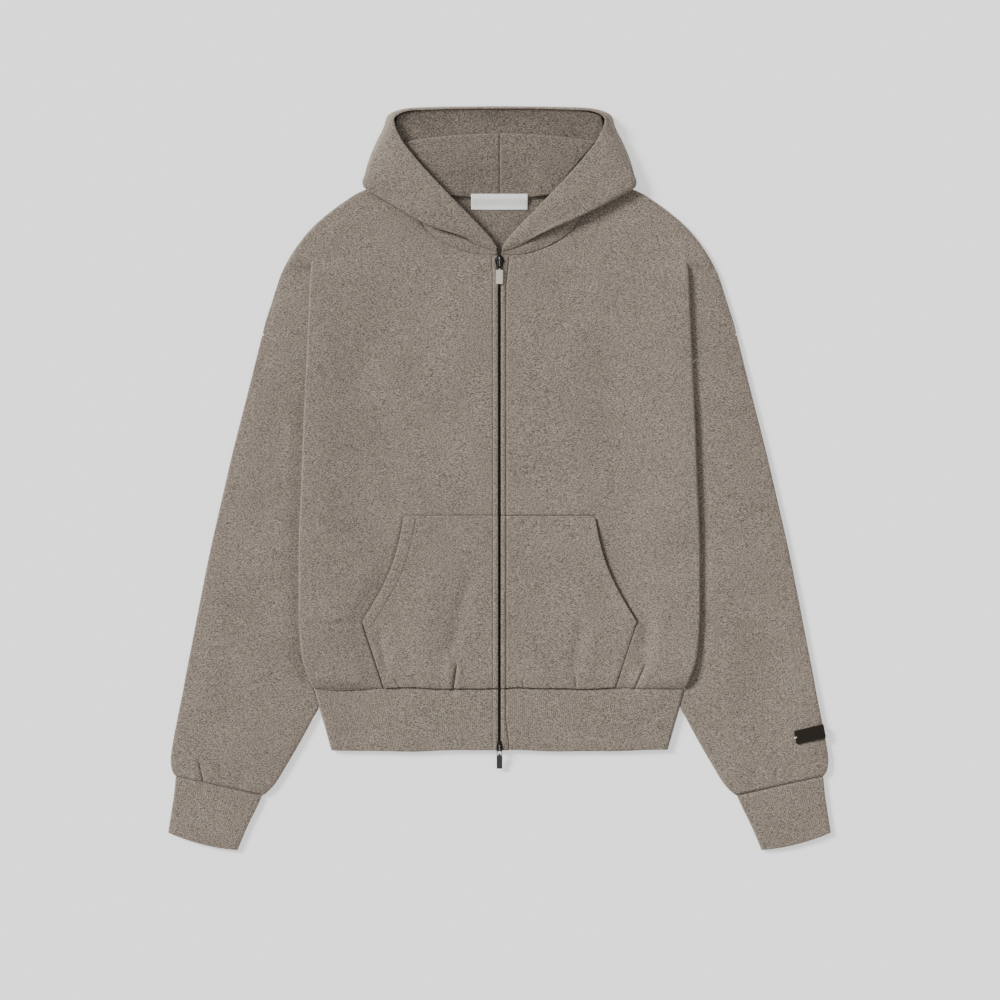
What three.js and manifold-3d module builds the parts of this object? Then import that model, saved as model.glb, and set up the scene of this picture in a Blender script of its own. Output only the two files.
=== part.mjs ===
// A zip-up hoodie in heavy brushed fleece, laid flat on its back and seen from above.
// Millimetres, +Z up. +Y points to the hood, +X to the wearer's left, and the table is z = 0.
// Cloth is built as walls: a grid of points on the middle of the cloth, moved out half a
// thickness to each side. Each piece that is cut and sewn is a mesh of its own.
import * as THREE from "three";
import { mergeVertices } from "three/addons/utils/BufferGeometryUtils.js";
import Module from "manifold-3d";

const wasm = await Module();
wasm.setup();

// Driving sizes
const CLOTH = 2; // fleece thickness
const RIB = 2.4; // rib thickness, two layers pressed together
const SEAM = 0.3; // gap between pieces that are sewn edge to edge
const HEM_Y = -248; // seam of body and waistband
const WAISTBAND = 73; // height of the waistband
const REST_Z = 5.8; // middle of the front's cloth where it lies on the back
const FOLD_R = 1.65; // radius of a pressed fold, on the middle of the cloth
const ARMPIT_Y = 60;
const PLEAT_TOP_Y = 262; // where the pleat in front of the armhole runs out
const ZIP_EDGE_X = 2.1; // the front's edge beside the teeth

// Half of the body, from hem to shoulder: the outermost fold, the tucked-in line below it, the
// height of the top layer at the fold. Below the armpit the tucked line is the side seam.
const BODY = [
  { y: HEM_Y, fold: 218.5, tuck: 205, top: 7.6 },
  { y: -243, fold: 220.6, tuck: 205.2, top: 10 },
  { y: -236, fold: 223.5, tuck: 205.5, top: 12 },
  { y: -222, fold: 229, tuck: 206, top: 12.2 },
  { y: -200, fold: 233.5, tuck: 206, top: 12 },
  { y: -155, fold: 236, tuck: 205, top: 12 },
  { y: -96, fold: 236, tuck: 205, top: 12 },
  { y: 4, fold: 232.5, tuck: 204, top: 12 },
  { y: 69, fold: 230, tuck: 204, top: 12 },
  { y: 146, fold: 226.5, tuck: 206, top: 12 },
  { y: 200, fold: 224, tuck: 210, top: 12 },
  { y: 236, fold: 222.5, tuck: 216, top: 11.4 },
  { y: PLEAT_TOP_Y, fold: 219, tuck: 219, top: 7.4 },
  { y: 290, fold: 196, tuck: 196, top: 6.4 },
  { y: 320, fold: 158, tuck: 158, top: 5.8 },
  { y: 344, fold: 104, tuck: 104, top: 4.8 },
];

// The shoulder's outline, from the neck point to the end of the dropped shoulder.
const SHOULDER = [
  { x: 92, y: 350 },
  { x: 128, y: 347 },
  { x: 160, y: 340.5 },
  { x: 184, y: 326.5 },
  { x: 203.5, y: 312 },
  { x: 219.5, y: 298 },
  { x: 232, y: 284 },
  { x: 242.5, y: 269.5 },
  { x: 251, y: 255.5 },
  { x: 258, y: 241.5 },
  { x: 263, y: 227 },
  { x: 267.5, y: 213 },
  { x: 272, y: 199 },
  { x: 276.5, y: 185 },
  { x: 280.3, y: 170 },
];

// The armhole seam, from the dropped shoulder's end to the armpit.
const ARMHOLE = [
  { x: 280.3, y: 170 },
  { x: 266, y: 161 },
  { x: 252, y: 152.5 },
  { x: 240, y: 146 },
  { x: 229, y: 138 },
  { x: 219, y: 124 },
  { x: 212.5, y: 104 },
  { x: 209, y: 82 },
  { x: 207, y: ARMPIT_Y },
];

// The neck seam, from the zip round to the neck point and on to the middle of the back.
const NECK_FRONT = [
  { x: 0, y: 263.7 },
  { x: 23.6, y: 264 },
  { x: 37, y: 266.8 },
  { x: 49, y: 270.6 },
  { x: 60, y: 275 },
  { x: 78, y: 286.5 },
  { x: 91, y: 300 },
  { x: 98, y: 316 },
  { x: 98, y: 334 },
  { x: 92, y: 350 },
];
const NECK_BACK = [
  { x: 92, y: 350 },
  { x: 82, y: 342 },
  { x: 66, y: 336 },
  { x: 46, y: 332.2 },
  { x: 24, y: 330.4 },
  { x: 0, y: 330 },
];

// A sleeve, by its outer and inner edge and its height off the table.
const SLEEVE = [
  { outX: 280.3, outY: 170, inX: 208.5, inY: 60, high: 6.4 },
  { outX: 287.5, outY: 141, inX: 209, inY: 30, high: 6.6 },
  { outX: 299, outY: 95, inX: 209.5, inY: -20, high: 6.8 },
  { outX: 315.7, outY: 29, inX: 210, inY: -76, high: 7 },
  { outX: 330, outY: -33, inX: 210, inY: -130, high: 7 },
  { outX: 342, outY: -86, inX: 210.5, inY: -176, high: 7.2 },
  { outX: 354, outY: -146, inX: 212, inY: -214, high: 7.2 },
  { outX: 364, outY: -198, inX: 218.8, inY: -236, high: 6.6 },
  { outX: 370.5, outY: -231, inX: 219.8, inY: -247, high: 6.6 },
  { outX: 374, outY: -251, inX: 215, inY: -268, high: 7.2 },
  { outX: 378.8, outY: -275, inX: 220.6, inY: -283.5, high: 7.6 },
  { outX: 385, outY: -307, inX: 235.4, inY: -311, high: 7.6 },
  { outX: 388.4, outY: -330, inX: 252, inY: -339.5, high: 7.4 },
  { outX: 387, outY: -344, inX: 265.4, inY: -361, high: 7 },
  { outX: 382.8, outY: -351, inX: 278, inY: -373.5, high: 6.6 },
];
const CUFF = [
  { outX: 382.6, outY: -351.6, inX: 280.4, inY: -375, high: 6.2 },
  { outX: 384.4, outY: -371.5, inX: 287, inY: -389.2, high: 6.3 },
  { outX: 388.2, outY: -397, inX: 298, inY: -411.5, high: 6.3 },
  { outX: 391.6, outY: -418.4, inX: 309.5, inY: -439, high: 6.2 },
];
const CUFF_BOW = 3.5; // how far the cuff's lower edge bows out

// The waistband's folded side, from its seam to its lower edge.
const BAND = [
  { y: HEM_Y - SEAM, side: 217.6 },
  { y: -268.5, side: 212.4 },
  { y: -294, side: 205 },
  { y: HEM_Y - WAISTBAND, side: 197.6 },
];

// The kangaroo pocket's outline, from its top at the zip round to its foot.
const POCKET = { top: -44.3, topX: 112.7, cornerX: 162, cornerY: -169, footX: 136, gap: 0.8 };
const POCKET_MOUTH_BEND = 9; // how far the hand opening bows towards the zip

// Half of the hood's outer cloth, from the zip round to the middle of the forehead. Each
// station runs from the face opening over the outer fold to the neck or centre-back seam.
const HOOD = [
  { edge: [3.6, 272.8, 9.6], fold: [5, 269, 9.2], low: 8.4, turn: 0.1, seam: [6.5, 264.5, 6.4] },
  { edge: [9, 282, 10.8], fold: [20, 274.5, 10.6], low: 8.4, turn: 0.4, seam: [24, 264.7, 6.3] },
  { edge: [24.5, 299, 13.4], fold: [38, 283.6, 13], low: 8, turn: 4, seam: [45, 269.7, 6.3] },
  { edge: [45.5, 320.3, 16.4], fold: [59, 293.7, 15], low: 8.2, turn: 8, seam: [66.5, 279.3, 6.4] },
  { edge: [62, 337.2, 18], fold: [82, 303.8, 15.6], low: 8.8, turn: 10, seam: [84.5, 293.1, 6.6] },
  { edge: [75, 351, 19], fold: [108, 315.8, 15.6], low: 9.2, turn: 11, seam: [95.8, 312.6, 7] },
  { edge: [86, 362.8, 19.5], fold: [139, 331.7, 14], low: 9, turn: 11, seam: [95, 333, 7.4] },
  { edge: [96, 374, 19.5], fold: [159.5, 344.6, 12.5], low: 6.6, turn: 10, seam: [88, 352, 6.4] },
  { edge: [104, 384, 19.5], fold: [157, 361, 11], low: 4, turn: 9, seam: [60, 338, 4] },
  { edge: [112, 394, 19.5], fold: [151, 377, 10], low: 1.2, turn: 8, seam: [22, 333, 1.2] },
  { edge: [118, 404, 19.5], fold: [142.2, 397, 10], low: 1.2, turn: 8, seam: [0, 352, 1.2] },
  { edge: [122.5, 415, 19.5], fold: [133.6, 414, 10], low: 1.2, turn: 8, seam: [0, 384, 1.2] },
  { edge: [122.5, 425, 19.5], fold: [127, 429, 10], low: 1.2, turn: 7, seam: [0, 406, 1.2] },
  { edge: [108, 432, 19.5], fold: [110, 435.4, 10], low: 1.2, turn: 6, seam: [0, 418, 1.2] },
  { edge: [78, 433.8, 19.5], fold: [78, 437.2, 10], low: 1.2, turn: 6, seam: [0, 424, 1.2] },
  { edge: [40, 434.8, 19.5], fold: [40, 437.8, 10], low: 1.2, turn: 6, seam: [0, 427, 1.2] },
  { edge: [0, 435, 19.5], fold: [0, 438.1, 10], low: 1.2, turn: 6, seam: [0, 430, 1.2] },
];

const smooth = (t) => {
  const c = Math.min(1, Math.max(0, t));
  return c * c * (3 - 2 * c);
};

// The value of a column at a key, with a curve through the table's rows.
function valueAt(rows, key, at, column) {
  const sorted = rows[0][key] <= rows[rows.length - 1][key] ? rows : [...rows].reverse();
  const last = sorted.length - 1;
  if (at <= sorted[0][key]) return sorted[0][column];
  if (at >= sorted[last][key]) return sorted[last][column];
  const i = sorted.findIndex((row, n) => n < last && at <= sorted[n + 1][key]);
  const slope = (n) =>
    (sorted[n + 1][column] - sorted[n][column]) / (sorted[n + 1][key] - sorted[n][key]);
  const tangent = (n) => {
    if (n === 0) return slope(0);
    if (n === last) return slope(last - 1);
    const [before, after] = [slope(n - 1), slope(n)];
    return before * after <= 0 ? 0 : (2 * before * after) / (before + after);
  };
  const step = sorted[i + 1][key] - sorted[i][key];
  const t = (at - sorted[i][key]) / step;
  const a = sorted[i][column];
  const b = sorted[i + 1][column];
  const [da, db] = [tangent(i) * step, tangent(i + 1) * step];
  return (
    a * (2 * t ** 3 - 3 * t ** 2 + 1) +
    da * (t ** 3 - 2 * t ** 2 + t) +
    b * (3 * t ** 2 - 2 * t ** 3) +
    db * (t ** 3 - t ** 2)
  );
}

// Points spread evenly along a smooth line through a list of points.
function along(points, count) {
  const curve = new THREE.CatmullRomCurve3(points, false, "centripetal");
  return curve.getSpacedPoints(count - 1);
}

// A closed wall of cloth about a grid of points, rows[j][i]. A ring's columns close on
// themselves, so that the wall is a tube.
function wallGeometry(rows, thickness, ring = false) {
  const tall = rows.length;
  const wide = rows[0].length;
  const at = (j, i) => rows[j][ring ? (i + wide) % wide : i];
  const positions = [];
  const half = thickness / 2;
  for (const side of [1, -1]) {
    for (let j = 0; j < tall; j++) {
      for (let i = 0; i < wide; i++) {
        const across = at(j, ring ? i + 1 : Math.min(i + 1, wide - 1))
          .clone()
          .sub(at(j, ring ? i - 1 : Math.max(i - 1, 0)));
        const up = at(Math.min(j + 1, tall - 1), i)
          .clone()
          .sub(at(Math.max(j - 1, 0), i));
        const normal = across.cross(up).normalize();
        const p = at(j, i).clone().addScaledVector(normal, side * half);
        positions.push(p.x, p.y, p.z);
      }
    }
  }
  const index = [];
  const skin = tall * wide;
  const quad = (a, b, c, d) => index.push(a, b, c, a, c, d);
  const cells = ring ? wide : wide - 1;
  for (let j = 0; j < tall - 1; j++) {
    for (let i = 0; i < cells; i++) {
      const next = (i + 1) % wide;
      const [a, b] = [j * wide + i, j * wide + next];
      const [c, d] = [b + wide, a + wide];
      quad(a, b, c, d);
      quad(skin + a, skin + d, skin + c, skin + b);
    }
    if (!ring) {
      const [left, right] = [j * wide, j * wide + wide - 1];
      quad(left, left + wide, skin + left + wide, skin + left);
      quad(right, skin + right, skin + right + wide, right + wide);
    }
  }
  for (let i = 0; i < cells; i++) {
    const next = (i + 1) % wide;
    const top = (tall - 1) * wide;
    quad(i, skin + i, skin + next, next);
    quad(top + i, top + next, skin + top + next, skin + top + i);
  }
  const geometry = new THREE.BufferGeometry();
  geometry.setAttribute("position", new THREE.Float32BufferAttribute(positions, 3));
  geometry.setIndex(index);
  return geometry;
}

// A plate of a flat outline, from one height to another.
function plateGeometry(outline, low, high) {
  const shape = new THREE.Shape(outline.map((p) => new THREE.Vector2(p.x, p.y)));
  const geometry = new THREE.ExtrudeGeometry(shape, { depth: high - low, bevelEnabled: false });
  return geometry.translate(0, 0, low);
}

function solidOf(geometry) {
  const bare = new THREE.BufferGeometry();
  const flat = geometry.index ? geometry.toNonIndexed() : geometry;
  bare.setAttribute("position", flat.getAttribute("position"));
  const merged = mergeVertices(bare, 1e-4);
  return new wasm.Manifold(
    new wasm.Mesh({
      numProp: 3,
      vertProperties: new Float32Array(merged.attributes.position.array),
      triVerts: new Uint32Array(merged.index.array),
    }),
  );
}

function geometryOf(solid) {
  const mesh = solid.getMesh();
  const geometry = new THREE.BufferGeometry();
  geometry.setAttribute("position", new THREE.BufferAttribute(mesh.vertProperties, 3));
  geometry.setIndex(new THREE.BufferAttribute(mesh.triVerts, 1));
  return geometry;
}

// The largest closed body of a solid, without the crumbs that a cut can leave.
function largestOf(solid) {
  return solid.decompose().reduce((a, b) => (a.volume() > b.volume() ? a : b));
}

const materialOf = (color, roughness, metalness = 0) =>
  new THREE.MeshStandardMaterial({ color, roughness, metalness });
const FLEECE = materialOf(0x8c8278, 0.95);
const RIBBING = materialOf(0x8a8177, 0.95);
const TAPE = materialOf(0x3b3733, 0.9);
const DARK_METAL = materialOf(0x2c2a28, 0.4, 0.9);
const PALE_METAL = materialOf(0xb9b2a6, 0.4, 0.8);
const WHITE_WEAVE = materialOf(0xe9eae6, 0.8);
const DARK_RUBBER = materialOf(0x2b2823, 0.7);

const hoodie = new THREE.Group();

function add(name, geometry, material, parent = hoodie) {
  geometry.deleteAttribute("uv");
  geometry.deleteAttribute("normal");
  const mesh = new THREE.Mesh(geometry, material);
  mesh.name = name;
  parent.add(mesh);
  return mesh;
}

// A mirrored copy for the wearer's right side, with its faces turned to point out again.
function mirrored(geometry) {
  const copy = (geometry.index ? geometry.toNonIndexed() : geometry.clone()).scale(-1, 1, 1);
  const p = copy.getAttribute("position");
  for (let i = 0; i < p.count; i += 3) {
    const [b, c] = [i + 1, i + 2].map((n) => [p.getX(n), p.getY(n), p.getZ(n)]);
    p.setXYZ(i + 1, ...c);
    p.setXYZ(i + 2, ...b);
  }
  copy.deleteAttribute("uv");
  copy.deleteAttribute("normal");
  return mergeVertices(copy, 1e-5);
}

function addPair(name, geometry, material) {
  add(`${name}_left`, geometry, material);
  add(`${name}_right`, mirrored(geometry), material);
}

// Height of the middle of the front's cloth over the chest and belly.
const CHEST_RISE = 105; // how far inwards the rise to the side fold starts
function chestZ(x, y) {
  const fold = valueAt(BODY, "y", y, "fold");
  const top = valueAt(BODY, "y", y, "top");
  const t = smooth((x - (fold - CHEST_RISE)) / (CHEST_RISE - FOLD_R));
  return REST_Z + (top - REST_Z) * t;
}

// One section of the front, from the zip over the chest, round the side fold, in under it to
// the tucked line, and above the armpit out again to the shoulder's outline.
const LOW_STEP = 2 * FOLD_R;
const ARC_STEPS = 4;
const LOWEST_Z = CLOTH * 1.5 + 0.4; // as low as the front's cloth lies over the back
function frontSection(y) {
  const fold = valueAt(BODY, "y", y, "fold");
  const tuck = valueAt(BODY, "y", y, "tuck");
  const outline = y >= 170 ? valueAt(SHOULDER, "y", y, "x") : valueAt(ARMHOLE, "y", y, "x") + 6;
  const over = smooth((PLEAT_TOP_Y - y) / 26) * Math.PI;
  const back = Math.min(over, smooth((y - ARMPIT_Y + 25) / 30) * Math.PI);
  const turn = Math.max(1.2, over * FOLD_R);
  const start = fold - FOLD_R;
  const section = [];
  const chestSteps = 8;
  for (let i = 0; i <= chestSteps; i++) {
    const x = ZIP_EDGE_X + (start - ZIP_EDGE_X) * Math.sin((i / chestSteps) * Math.PI * 0.5);
    section.push(new THREE.Vector3(x, y, chestZ(x, y)));
  }
  let [x, z] = [start, chestZ(start, y)];
  let heading = 0;
  const walk = (length, turned, steps) => {
    for (let i = 0; i < steps; i++) {
      heading += turned / steps / 2;
      x += (Math.cos(heading) * length) / steps;
      z = Math.max(LOWEST_Z, z + (Math.sin(heading) * length) / steps);
      heading += turned / steps / 2;
      section.push(new THREE.Vector3(x, y, z));
    }
  };
  const end = 1.5;
  const inLength = Math.max(1, fold - tuck - LOW_STEP - (1 - back / Math.PI) * (turn + end));
  walk(turn, -over, ARC_STEPS);
  walk(over > 1.5 ? inLength : 1, 0, 1);
  walk(turn, back, ARC_STEPS);
  const left = outline - x;
  if (y < ARMPIT_Y || left < end) walk(end, 0, 3);
  else {
    const from = new THREE.Vector3(x, y, z);
    const drop = y >= 170 ? z - LOWEST_Z : 0;
    for (const t of [0.45, 0.85, 1]) {
      const fall = drop * (t > 0.9 ? 1 : t * 0.35);
      section.push(new THREE.Vector3(from.x + left * t, y, from.z - fall));
    }
  }
  return section;
}

const FRONT_ROWS = [
  HEM_Y, -236, -222, -200, -160, -110, -50, 10, 36, 48, 58, 68, 84, 105, 130, 150, 170, 195, 220,
  236, 244, 252, 262, 276, 292, 308, 322, 334, 345,
];

// What lies beyond the armhole seam, as a plate to cut cloth with.
function sleeveSide(shift, low, high) {
  const seam = along(ARMHOLE.map((p) => new THREE.Vector3(p.x, p.y, 0)), 25);
  const outline = seam.map((p) => new THREE.Vector2(p.x + shift * 0.5, p.y - shift));
  outline.unshift(new THREE.Vector2(420, 170 + 60 - shift));
  outline.push(new THREE.Vector2(207 + shift * 0.5, -10), new THREE.Vector2(420, -10));
  return solidOf(plateGeometry(outline.reverse(), low, high));
}

// The hole for the neck in the fronts.
function neckHole() {
  const line = along(NECK_FRONT.map((p) => new THREE.Vector3(p.x, p.y, 0)), 28);
  const outline = line.map((p) => new THREE.Vector2(p.x, p.y));
  outline.push(new THREE.Vector2(88, 400), new THREE.Vector2(-20, 400));
  outline.push(new THREE.Vector2(-20, 263.7));
  return solidOf(plateGeometry(outline, -5, 40));
}

function frontGeometry() {
  const wall = solidOf(wallGeometry(FRONT_ROWS.map(frontSection), CLOTH));
  const low = chestZ(225, 100) - LOW_STEP - CLOTH / 2 - 0.1;
  const cut = wall.subtract(sleeveSide(0, -5, low)).subtract(neckHole());
  return geometryOf(largestOf(cut.trimByPlane([0, 1, 0], HEM_Y)));
}

// The back panel lies flat on the table.
function backGeometry() {
  const smoothLine = (rows, count) =>
    along(rows.map((p) => new THREE.Vector3(p.x, p.y, 0)), count);
  const side = BODY.filter((row) => row.y < ARMPIT_Y - 30)
    .reverse()
    .map((row) => new THREE.Vector3(row.tuck, row.y, 0));
  const half = [
    ...smoothLine([...NECK_BACK].reverse(), 14),
    ...smoothLine(SHOULDER, 26).slice(1),
    ...smoothLine(ARMHOLE, 16).slice(1, -1),
    new THREE.Vector3(205, ARMPIT_Y - 2, 0),
    ...side,
  ];
  const left = half.slice(1).map((p) => new THREE.Vector2(-p.x, p.y));
  const outline = [...half.map((p) => new THREE.Vector2(p.x, p.y)), ...left.reverse()];
  return plateGeometry(outline.reverse(), 0, CLOTH);
}

// A flattened tube between an outer and an inner edge. The ring starts at the outer edge and
// runs over the top to the inner edge and back under it.
const RING_HALF = 11;
function tubeSection(row, thickness, bow) {
  const section = [];
  const from = new THREE.Vector3(row.outX, row.outY, 0);
  const to = new THREE.Vector3(row.inX, row.inY, 0);
  const along = to.clone().sub(from);
  const width = along.length();
  const half = (row.high - thickness) / 2;
  const count = RING_HALF * 2;
  for (let i = 0; i < count; i++) {
    const angle = (i / count) * 2 * Math.PI + Math.PI / count;
    const c = Math.cos(angle);
    const s = Math.sin(angle);
    const round = Math.min(1, (half * 3.2) / width);
    const share = 0.5 - 0.5 * Math.sign(c) * Math.abs(c) ** 0.8;
    const u = thickness / 2 / width + share * (1 - thickness / width);
    const lift = Math.sign(s) * Math.min(1, Math.abs(s) ** 0.5 / (1 - round * 0.2));
    const p = from.clone().addScaledVector(along, u).add(bow(u));
    p.z = thickness / 2 + half + half * lift;
    section.push(p);
  }
  return section;
}

const noBow = () => new THREE.Vector3();

// The sleeve's first section follows the armhole seam, and those after it straighten out.
function sleeveGeometry() {
  const seam = along(ARMHOLE.map((p) => new THREE.Vector3(p.x, p.y, 0)), 41);
  const ends = [seam[0], seam[40]];
  const bowAt = (share) => (u) => {
    const n = Math.min(40, Math.max(0, u * 40));
    const low = Math.floor(n);
    const on = seam[low].clone().lerp(seam[Math.min(40, low + 1)], n - low);
    return on.sub(ends[0].clone().lerp(ends[1], u)).multiplyScalar(share);
  };
  const shares = [1.12, 0.8, 0.5, 0.25, 0.1];
  const rows = SLEEVE.map((row, j) => tubeSection(row, CLOTH, bowAt(shares[j] ?? 0)));
  const lead = SLEEVE[0];
  const above = { ...lead, outX: lead.outX - 5, outY: lead.outY + 14, inY: lead.inY + 14 };
  rows.unshift(tubeSection(above, CLOTH, bowAt(1.2)));
  const tube = solidOf(wallGeometry(rows, CLOTH, true));
  const keep = sleeveSide(SEAM * 2, -5, 20);
  const belowArmpit = solidOf(new THREE.BoxGeometry(400, 420, 40).translate(390, -220, 0));
  const room = keep.add(belowArmpit);
  return geometryOf(largestOf(tube.intersect(room)));
}

function cuffGeometry() {
  const last = CUFF.length - 1;
  const rows = CUFF.map((row, j) => {
    const deep = (j / last) * CUFF_BOW;
    return tubeSection(row, RIB, (u) => new THREE.Vector3(0, -deep * 4 * u * (1 - u), 0));
  });
  return wallGeometry(rows, RIB, true);
}

// The waistband is one strip, from the zip round the back and to the zip again.
const BAND_TOP_Z = 5.7;
function bandSection(row) {
  const low = RIB / 2;
  const r = (BAND_TOP_Z - low) / 2;
  const half = [];
  for (const t of [0, 0.35, 0.7, 1]) {
    const x = ZIP_EDGE_X + t * (row.side - r - ZIP_EDGE_X);
    half.push([x, BAND_TOP_Z]);
  }
  for (let i = 1; i <= ARC_STEPS; i++) {
    const a = (i / ARC_STEPS) * Math.PI;
    half.push([row.side - r + Math.sin(a) * r, low + r + Math.cos(a) * r]);
  }
  half.push([row.side * 0.5, low]);
  const other = half.map(([x, z]) => [-x, z]).reverse();
  return [...half, ...other].map(([x, z]) => new THREE.Vector3(x, row.y, z));
}

function waistbandGeometry() {
  const wall = solidOf(wallGeometry(BAND.map(bandSection).reverse(), RIB));
  return geometryOf(largestOf(wall.trimByPlane([0, -1, 0], SEAM - HEM_Y)));
}

// Where a share of the way across and down the pocket lies on the front.
function pocketSide(y) {
  const { top, topX, cornerX, cornerY, footX } = POCKET;
  if (y < cornerY) {
    const t = (y - cornerY) / (HEM_Y - cornerY);
    return cornerX + (footX - cornerX) * t;
  }
  const t = (top - y) / (top - cornerY);
  return topX + (cornerX - topX) * t - POCKET_MOUTH_BEND * Math.sin(Math.PI * t);
}

const POCKET_CLOTH = 1.8;
function pocketGeometry() {
  const ys = [POCKET.top, -60, -80, -100, -120, -140, -157, POCKET.cornerY, -190, -215, -233];
  ys.push(HEM_Y + 0.6);
  const columns = [0, 0.15, 0.35, 0.55, 0.7, 0.8, 0.88, 0.94, 1];
  const lift = CLOTH / 2 + POCKET.gap + POCKET_CLOTH / 2;
  const rows = ys.reverse().map((y) =>
    columns.map((u) => {
      const x = ZIP_EDGE_X + u * (pocketSide(y) - ZIP_EDGE_X);
      return new THREE.Vector3(x, y, chestZ(x, y) + lift);
    }),
  );
  return wallGeometry(rows, POCKET_CLOTH);
}

// The part of a wall on the wearer's left of the middle, short of the centre seam.
function leftHalf(geometry) {
  return geometryOf(largestOf(solidOf(geometry).trimByPlane([1, 0, 0], SEAM / 2)));
}

// One station of the hood's outer cloth, from the face opening to the seam.
function hoodSection({ edge, fold, low, turn, seam }) {
  const [e, s] = [edge, seam].map((p) => new THREE.Vector3(...p));
  const f = new THREE.Vector3(...fold);
  const out = f.clone().sub(e).setZ(0);
  const reach = out.length();
  out.normalize();
  const inwards = Math.min(turn, reach * 0.45);
  const crown = f.clone().addScaledVector(out, -inwards * 0.55);
  crown.z = f.z + (e.z - f.z) * 0.62;
  const under = f.clone().addScaledVector(out, -inwards * 0.7).setZ(low);
  const middle = e.clone().lerp(crown, 0.5);
  middle.z += 1;
  const inner = under.clone().lerp(s, 0.45).setZ(low + (s.z - low) * 0.3);
  const line = new THREE.CatmullRomCurve3([e, middle, crown, f, under, inner, s], false, "centripetal");
  return line.getPoints(18).map((p) => p.setZ(Math.max(p.z, CLOTH / 2 + 0.05)));
}

function hoodGeometry() {
  return leftHalf(wallGeometry(HOOD.map(hoodSection), CLOTH));
}

// The hood's inner cloth where it shows at the back of the neck, up to its rolled-over top.
const LINING = { bottom: 330.7, top: 404, lowZ: 4.2, highZ: 10.5, rollR: 2.2 };
function liningGeometry() {
  const rows = [];
  const wide = 8;
  const steps = [0, 0.12, 0.3, 0.5, 0.7, 0.85, 1];
  const widthAt = (y) => 58 + (y - LINING.bottom) * 0.86;
  for (const t of steps) {
    const row = [];
    for (let i = 0; i <= wide; i++) {
      const u = i / wide;
      const y = LINING.bottom + u * u * 4 + t * (LINING.top - LINING.bottom - u * u * 14);
      const x = u * widthAt(y);
      const low = LINING.lowZ + 2 * smooth((x - 34) / 14);
      const z = low + (LINING.highZ - low) * smooth(t * 1.1);
      row.push(new THREE.Vector3(x, y, z));
    }
    rows.push(row);
  }
  const top = rows[rows.length - 1];
  for (const turn of [0.8, 1.6]) {
    const lift = new THREE.Vector3(0, Math.sin(turn), Math.cos(turn) - 1);
    rows.push(top.map((p) => p.clone().addScaledVector(lift, LINING.rollR)));
  }
  return leftHalf(wallGeometry(rows, CLOTH));
}

// The crown of the hood behind that roll, rising to the face opening at the forehead.
const CROWN = { low: 396, lowZ: 4.4, high: 435.4, highZ: 17.2, half: 112, widen: 12 };
function crownGeometry() {
  const rows = [];
  for (const t of [0, 0.25, 0.5, 0.75, 0.9, 1]) {
    const row = [];
    for (let i = -10; i <= 10; i++) {
      const u = i / 10;
      const from = CROWN.low - 14 * u ** 2;
      const to = CROWN.high - 1.4 * u ** 2 - 6.5 * u ** 8;
      const spread = Math.sin((Math.min(1, t * 1.5) * Math.PI) / 2);
      const half = CROWN.half + CROWN.widen * spread - 4 * t ** 6;
      const z = CROWN.lowZ + (CROWN.highZ - 3 * u ** 8 - CROWN.lowZ) * t ** 1.9;
      row.push(new THREE.Vector3(u * half, from + (to - from) * t, z));
    }
    rows.push(row);
  }
  return wallGeometry(rows, CLOTH);
}

// The zip: tapes under the fronts' edges, the closed row of teeth, and two sliders with pulls.
const ZIP = { teethX: 1.6, teethLow: 4.4, teethHigh: 6.6, topY: 249.3, lowY: -311 };
const TAPE_SIZE = { from: 0.8, to: 13, low: 3.4, high: 4.1, topY: 261, lowY: -320.5 };
// Each slider, by its hinge and by its half widths at distances from the hinge down the zip.
const SLIDER_TOP = {
  y: 256, stem: [-6, 6], droop: 3.4, linkEnd: 9.6, tabFrom: 10, tabTo: 26.6, tabHalf: 4.1,
  sides: [[-7.5, 2.6], [-5.2, 3.8], [-2.2, 5.4], [1.2, 5], [4, 4.1], [9.5, 3.4]],
};
const SLIDER_LOW = {
  y: -319.5, stem: [-8, 1.5], droop: 13, linkEnd: 7, tabFrom: 7.4, tabTo: 23.8, tabHalf: 3.4,
  sides: [[-10, 1.9], [-5.5, 3.2], [-1.5, 3.6], [2.5, 3.5]],
};
const HINGE_Z = 9.6;
const PLATE = { low: 7.2, high: 8.2 };
const BRIDGE = { half: 0.9, under: 10.6, over: 11.6, post: 1.2 };
const LINK = { half: 2.6, bar: 1.1 };
const TAB_THICK = 1.5;

const box = (x0, x1, y0, y1, z0, z1) =>
  solidOf(
    new THREE.BoxGeometry(x1 - x0, y1 - y0, z1 - z0).translate(
      (x0 + x1) / 2,
      (y0 + y1) / 2,
      (z0 + z1) / 2,
    ),
  );

function sliderGeometry({ y, stem, sides }) {
  const outline = sides.map(([u, half]) => new THREE.Vector2(half, y - u));
  const other = sides.map(([u, half]) => new THREE.Vector2(-half, y - u));
  const plate = solidOf(plateGeometry([...outline, ...other.reverse()].reverse(), PLATE.low, PLATE.high));
  const [far, near] = [y + 5.6, y - Math.min(6.4, sides[sides.length - 1][0])];
  const { half, under, over, post } = BRIDGE;
  return geometryOf(
    plate
      .add(box(-1.5, 1.5, y - stem[1], y - stem[0], ZIP.teethLow, PLATE.low + 0.1))
      .add(box(-half, half, near, near + post, PLATE.high - 0.1, over))
      .add(box(-half, half, far - post, far, PLATE.high - 0.1, over))
      .add(box(-half, half, near, far, under, over)),
  );
}

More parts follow.
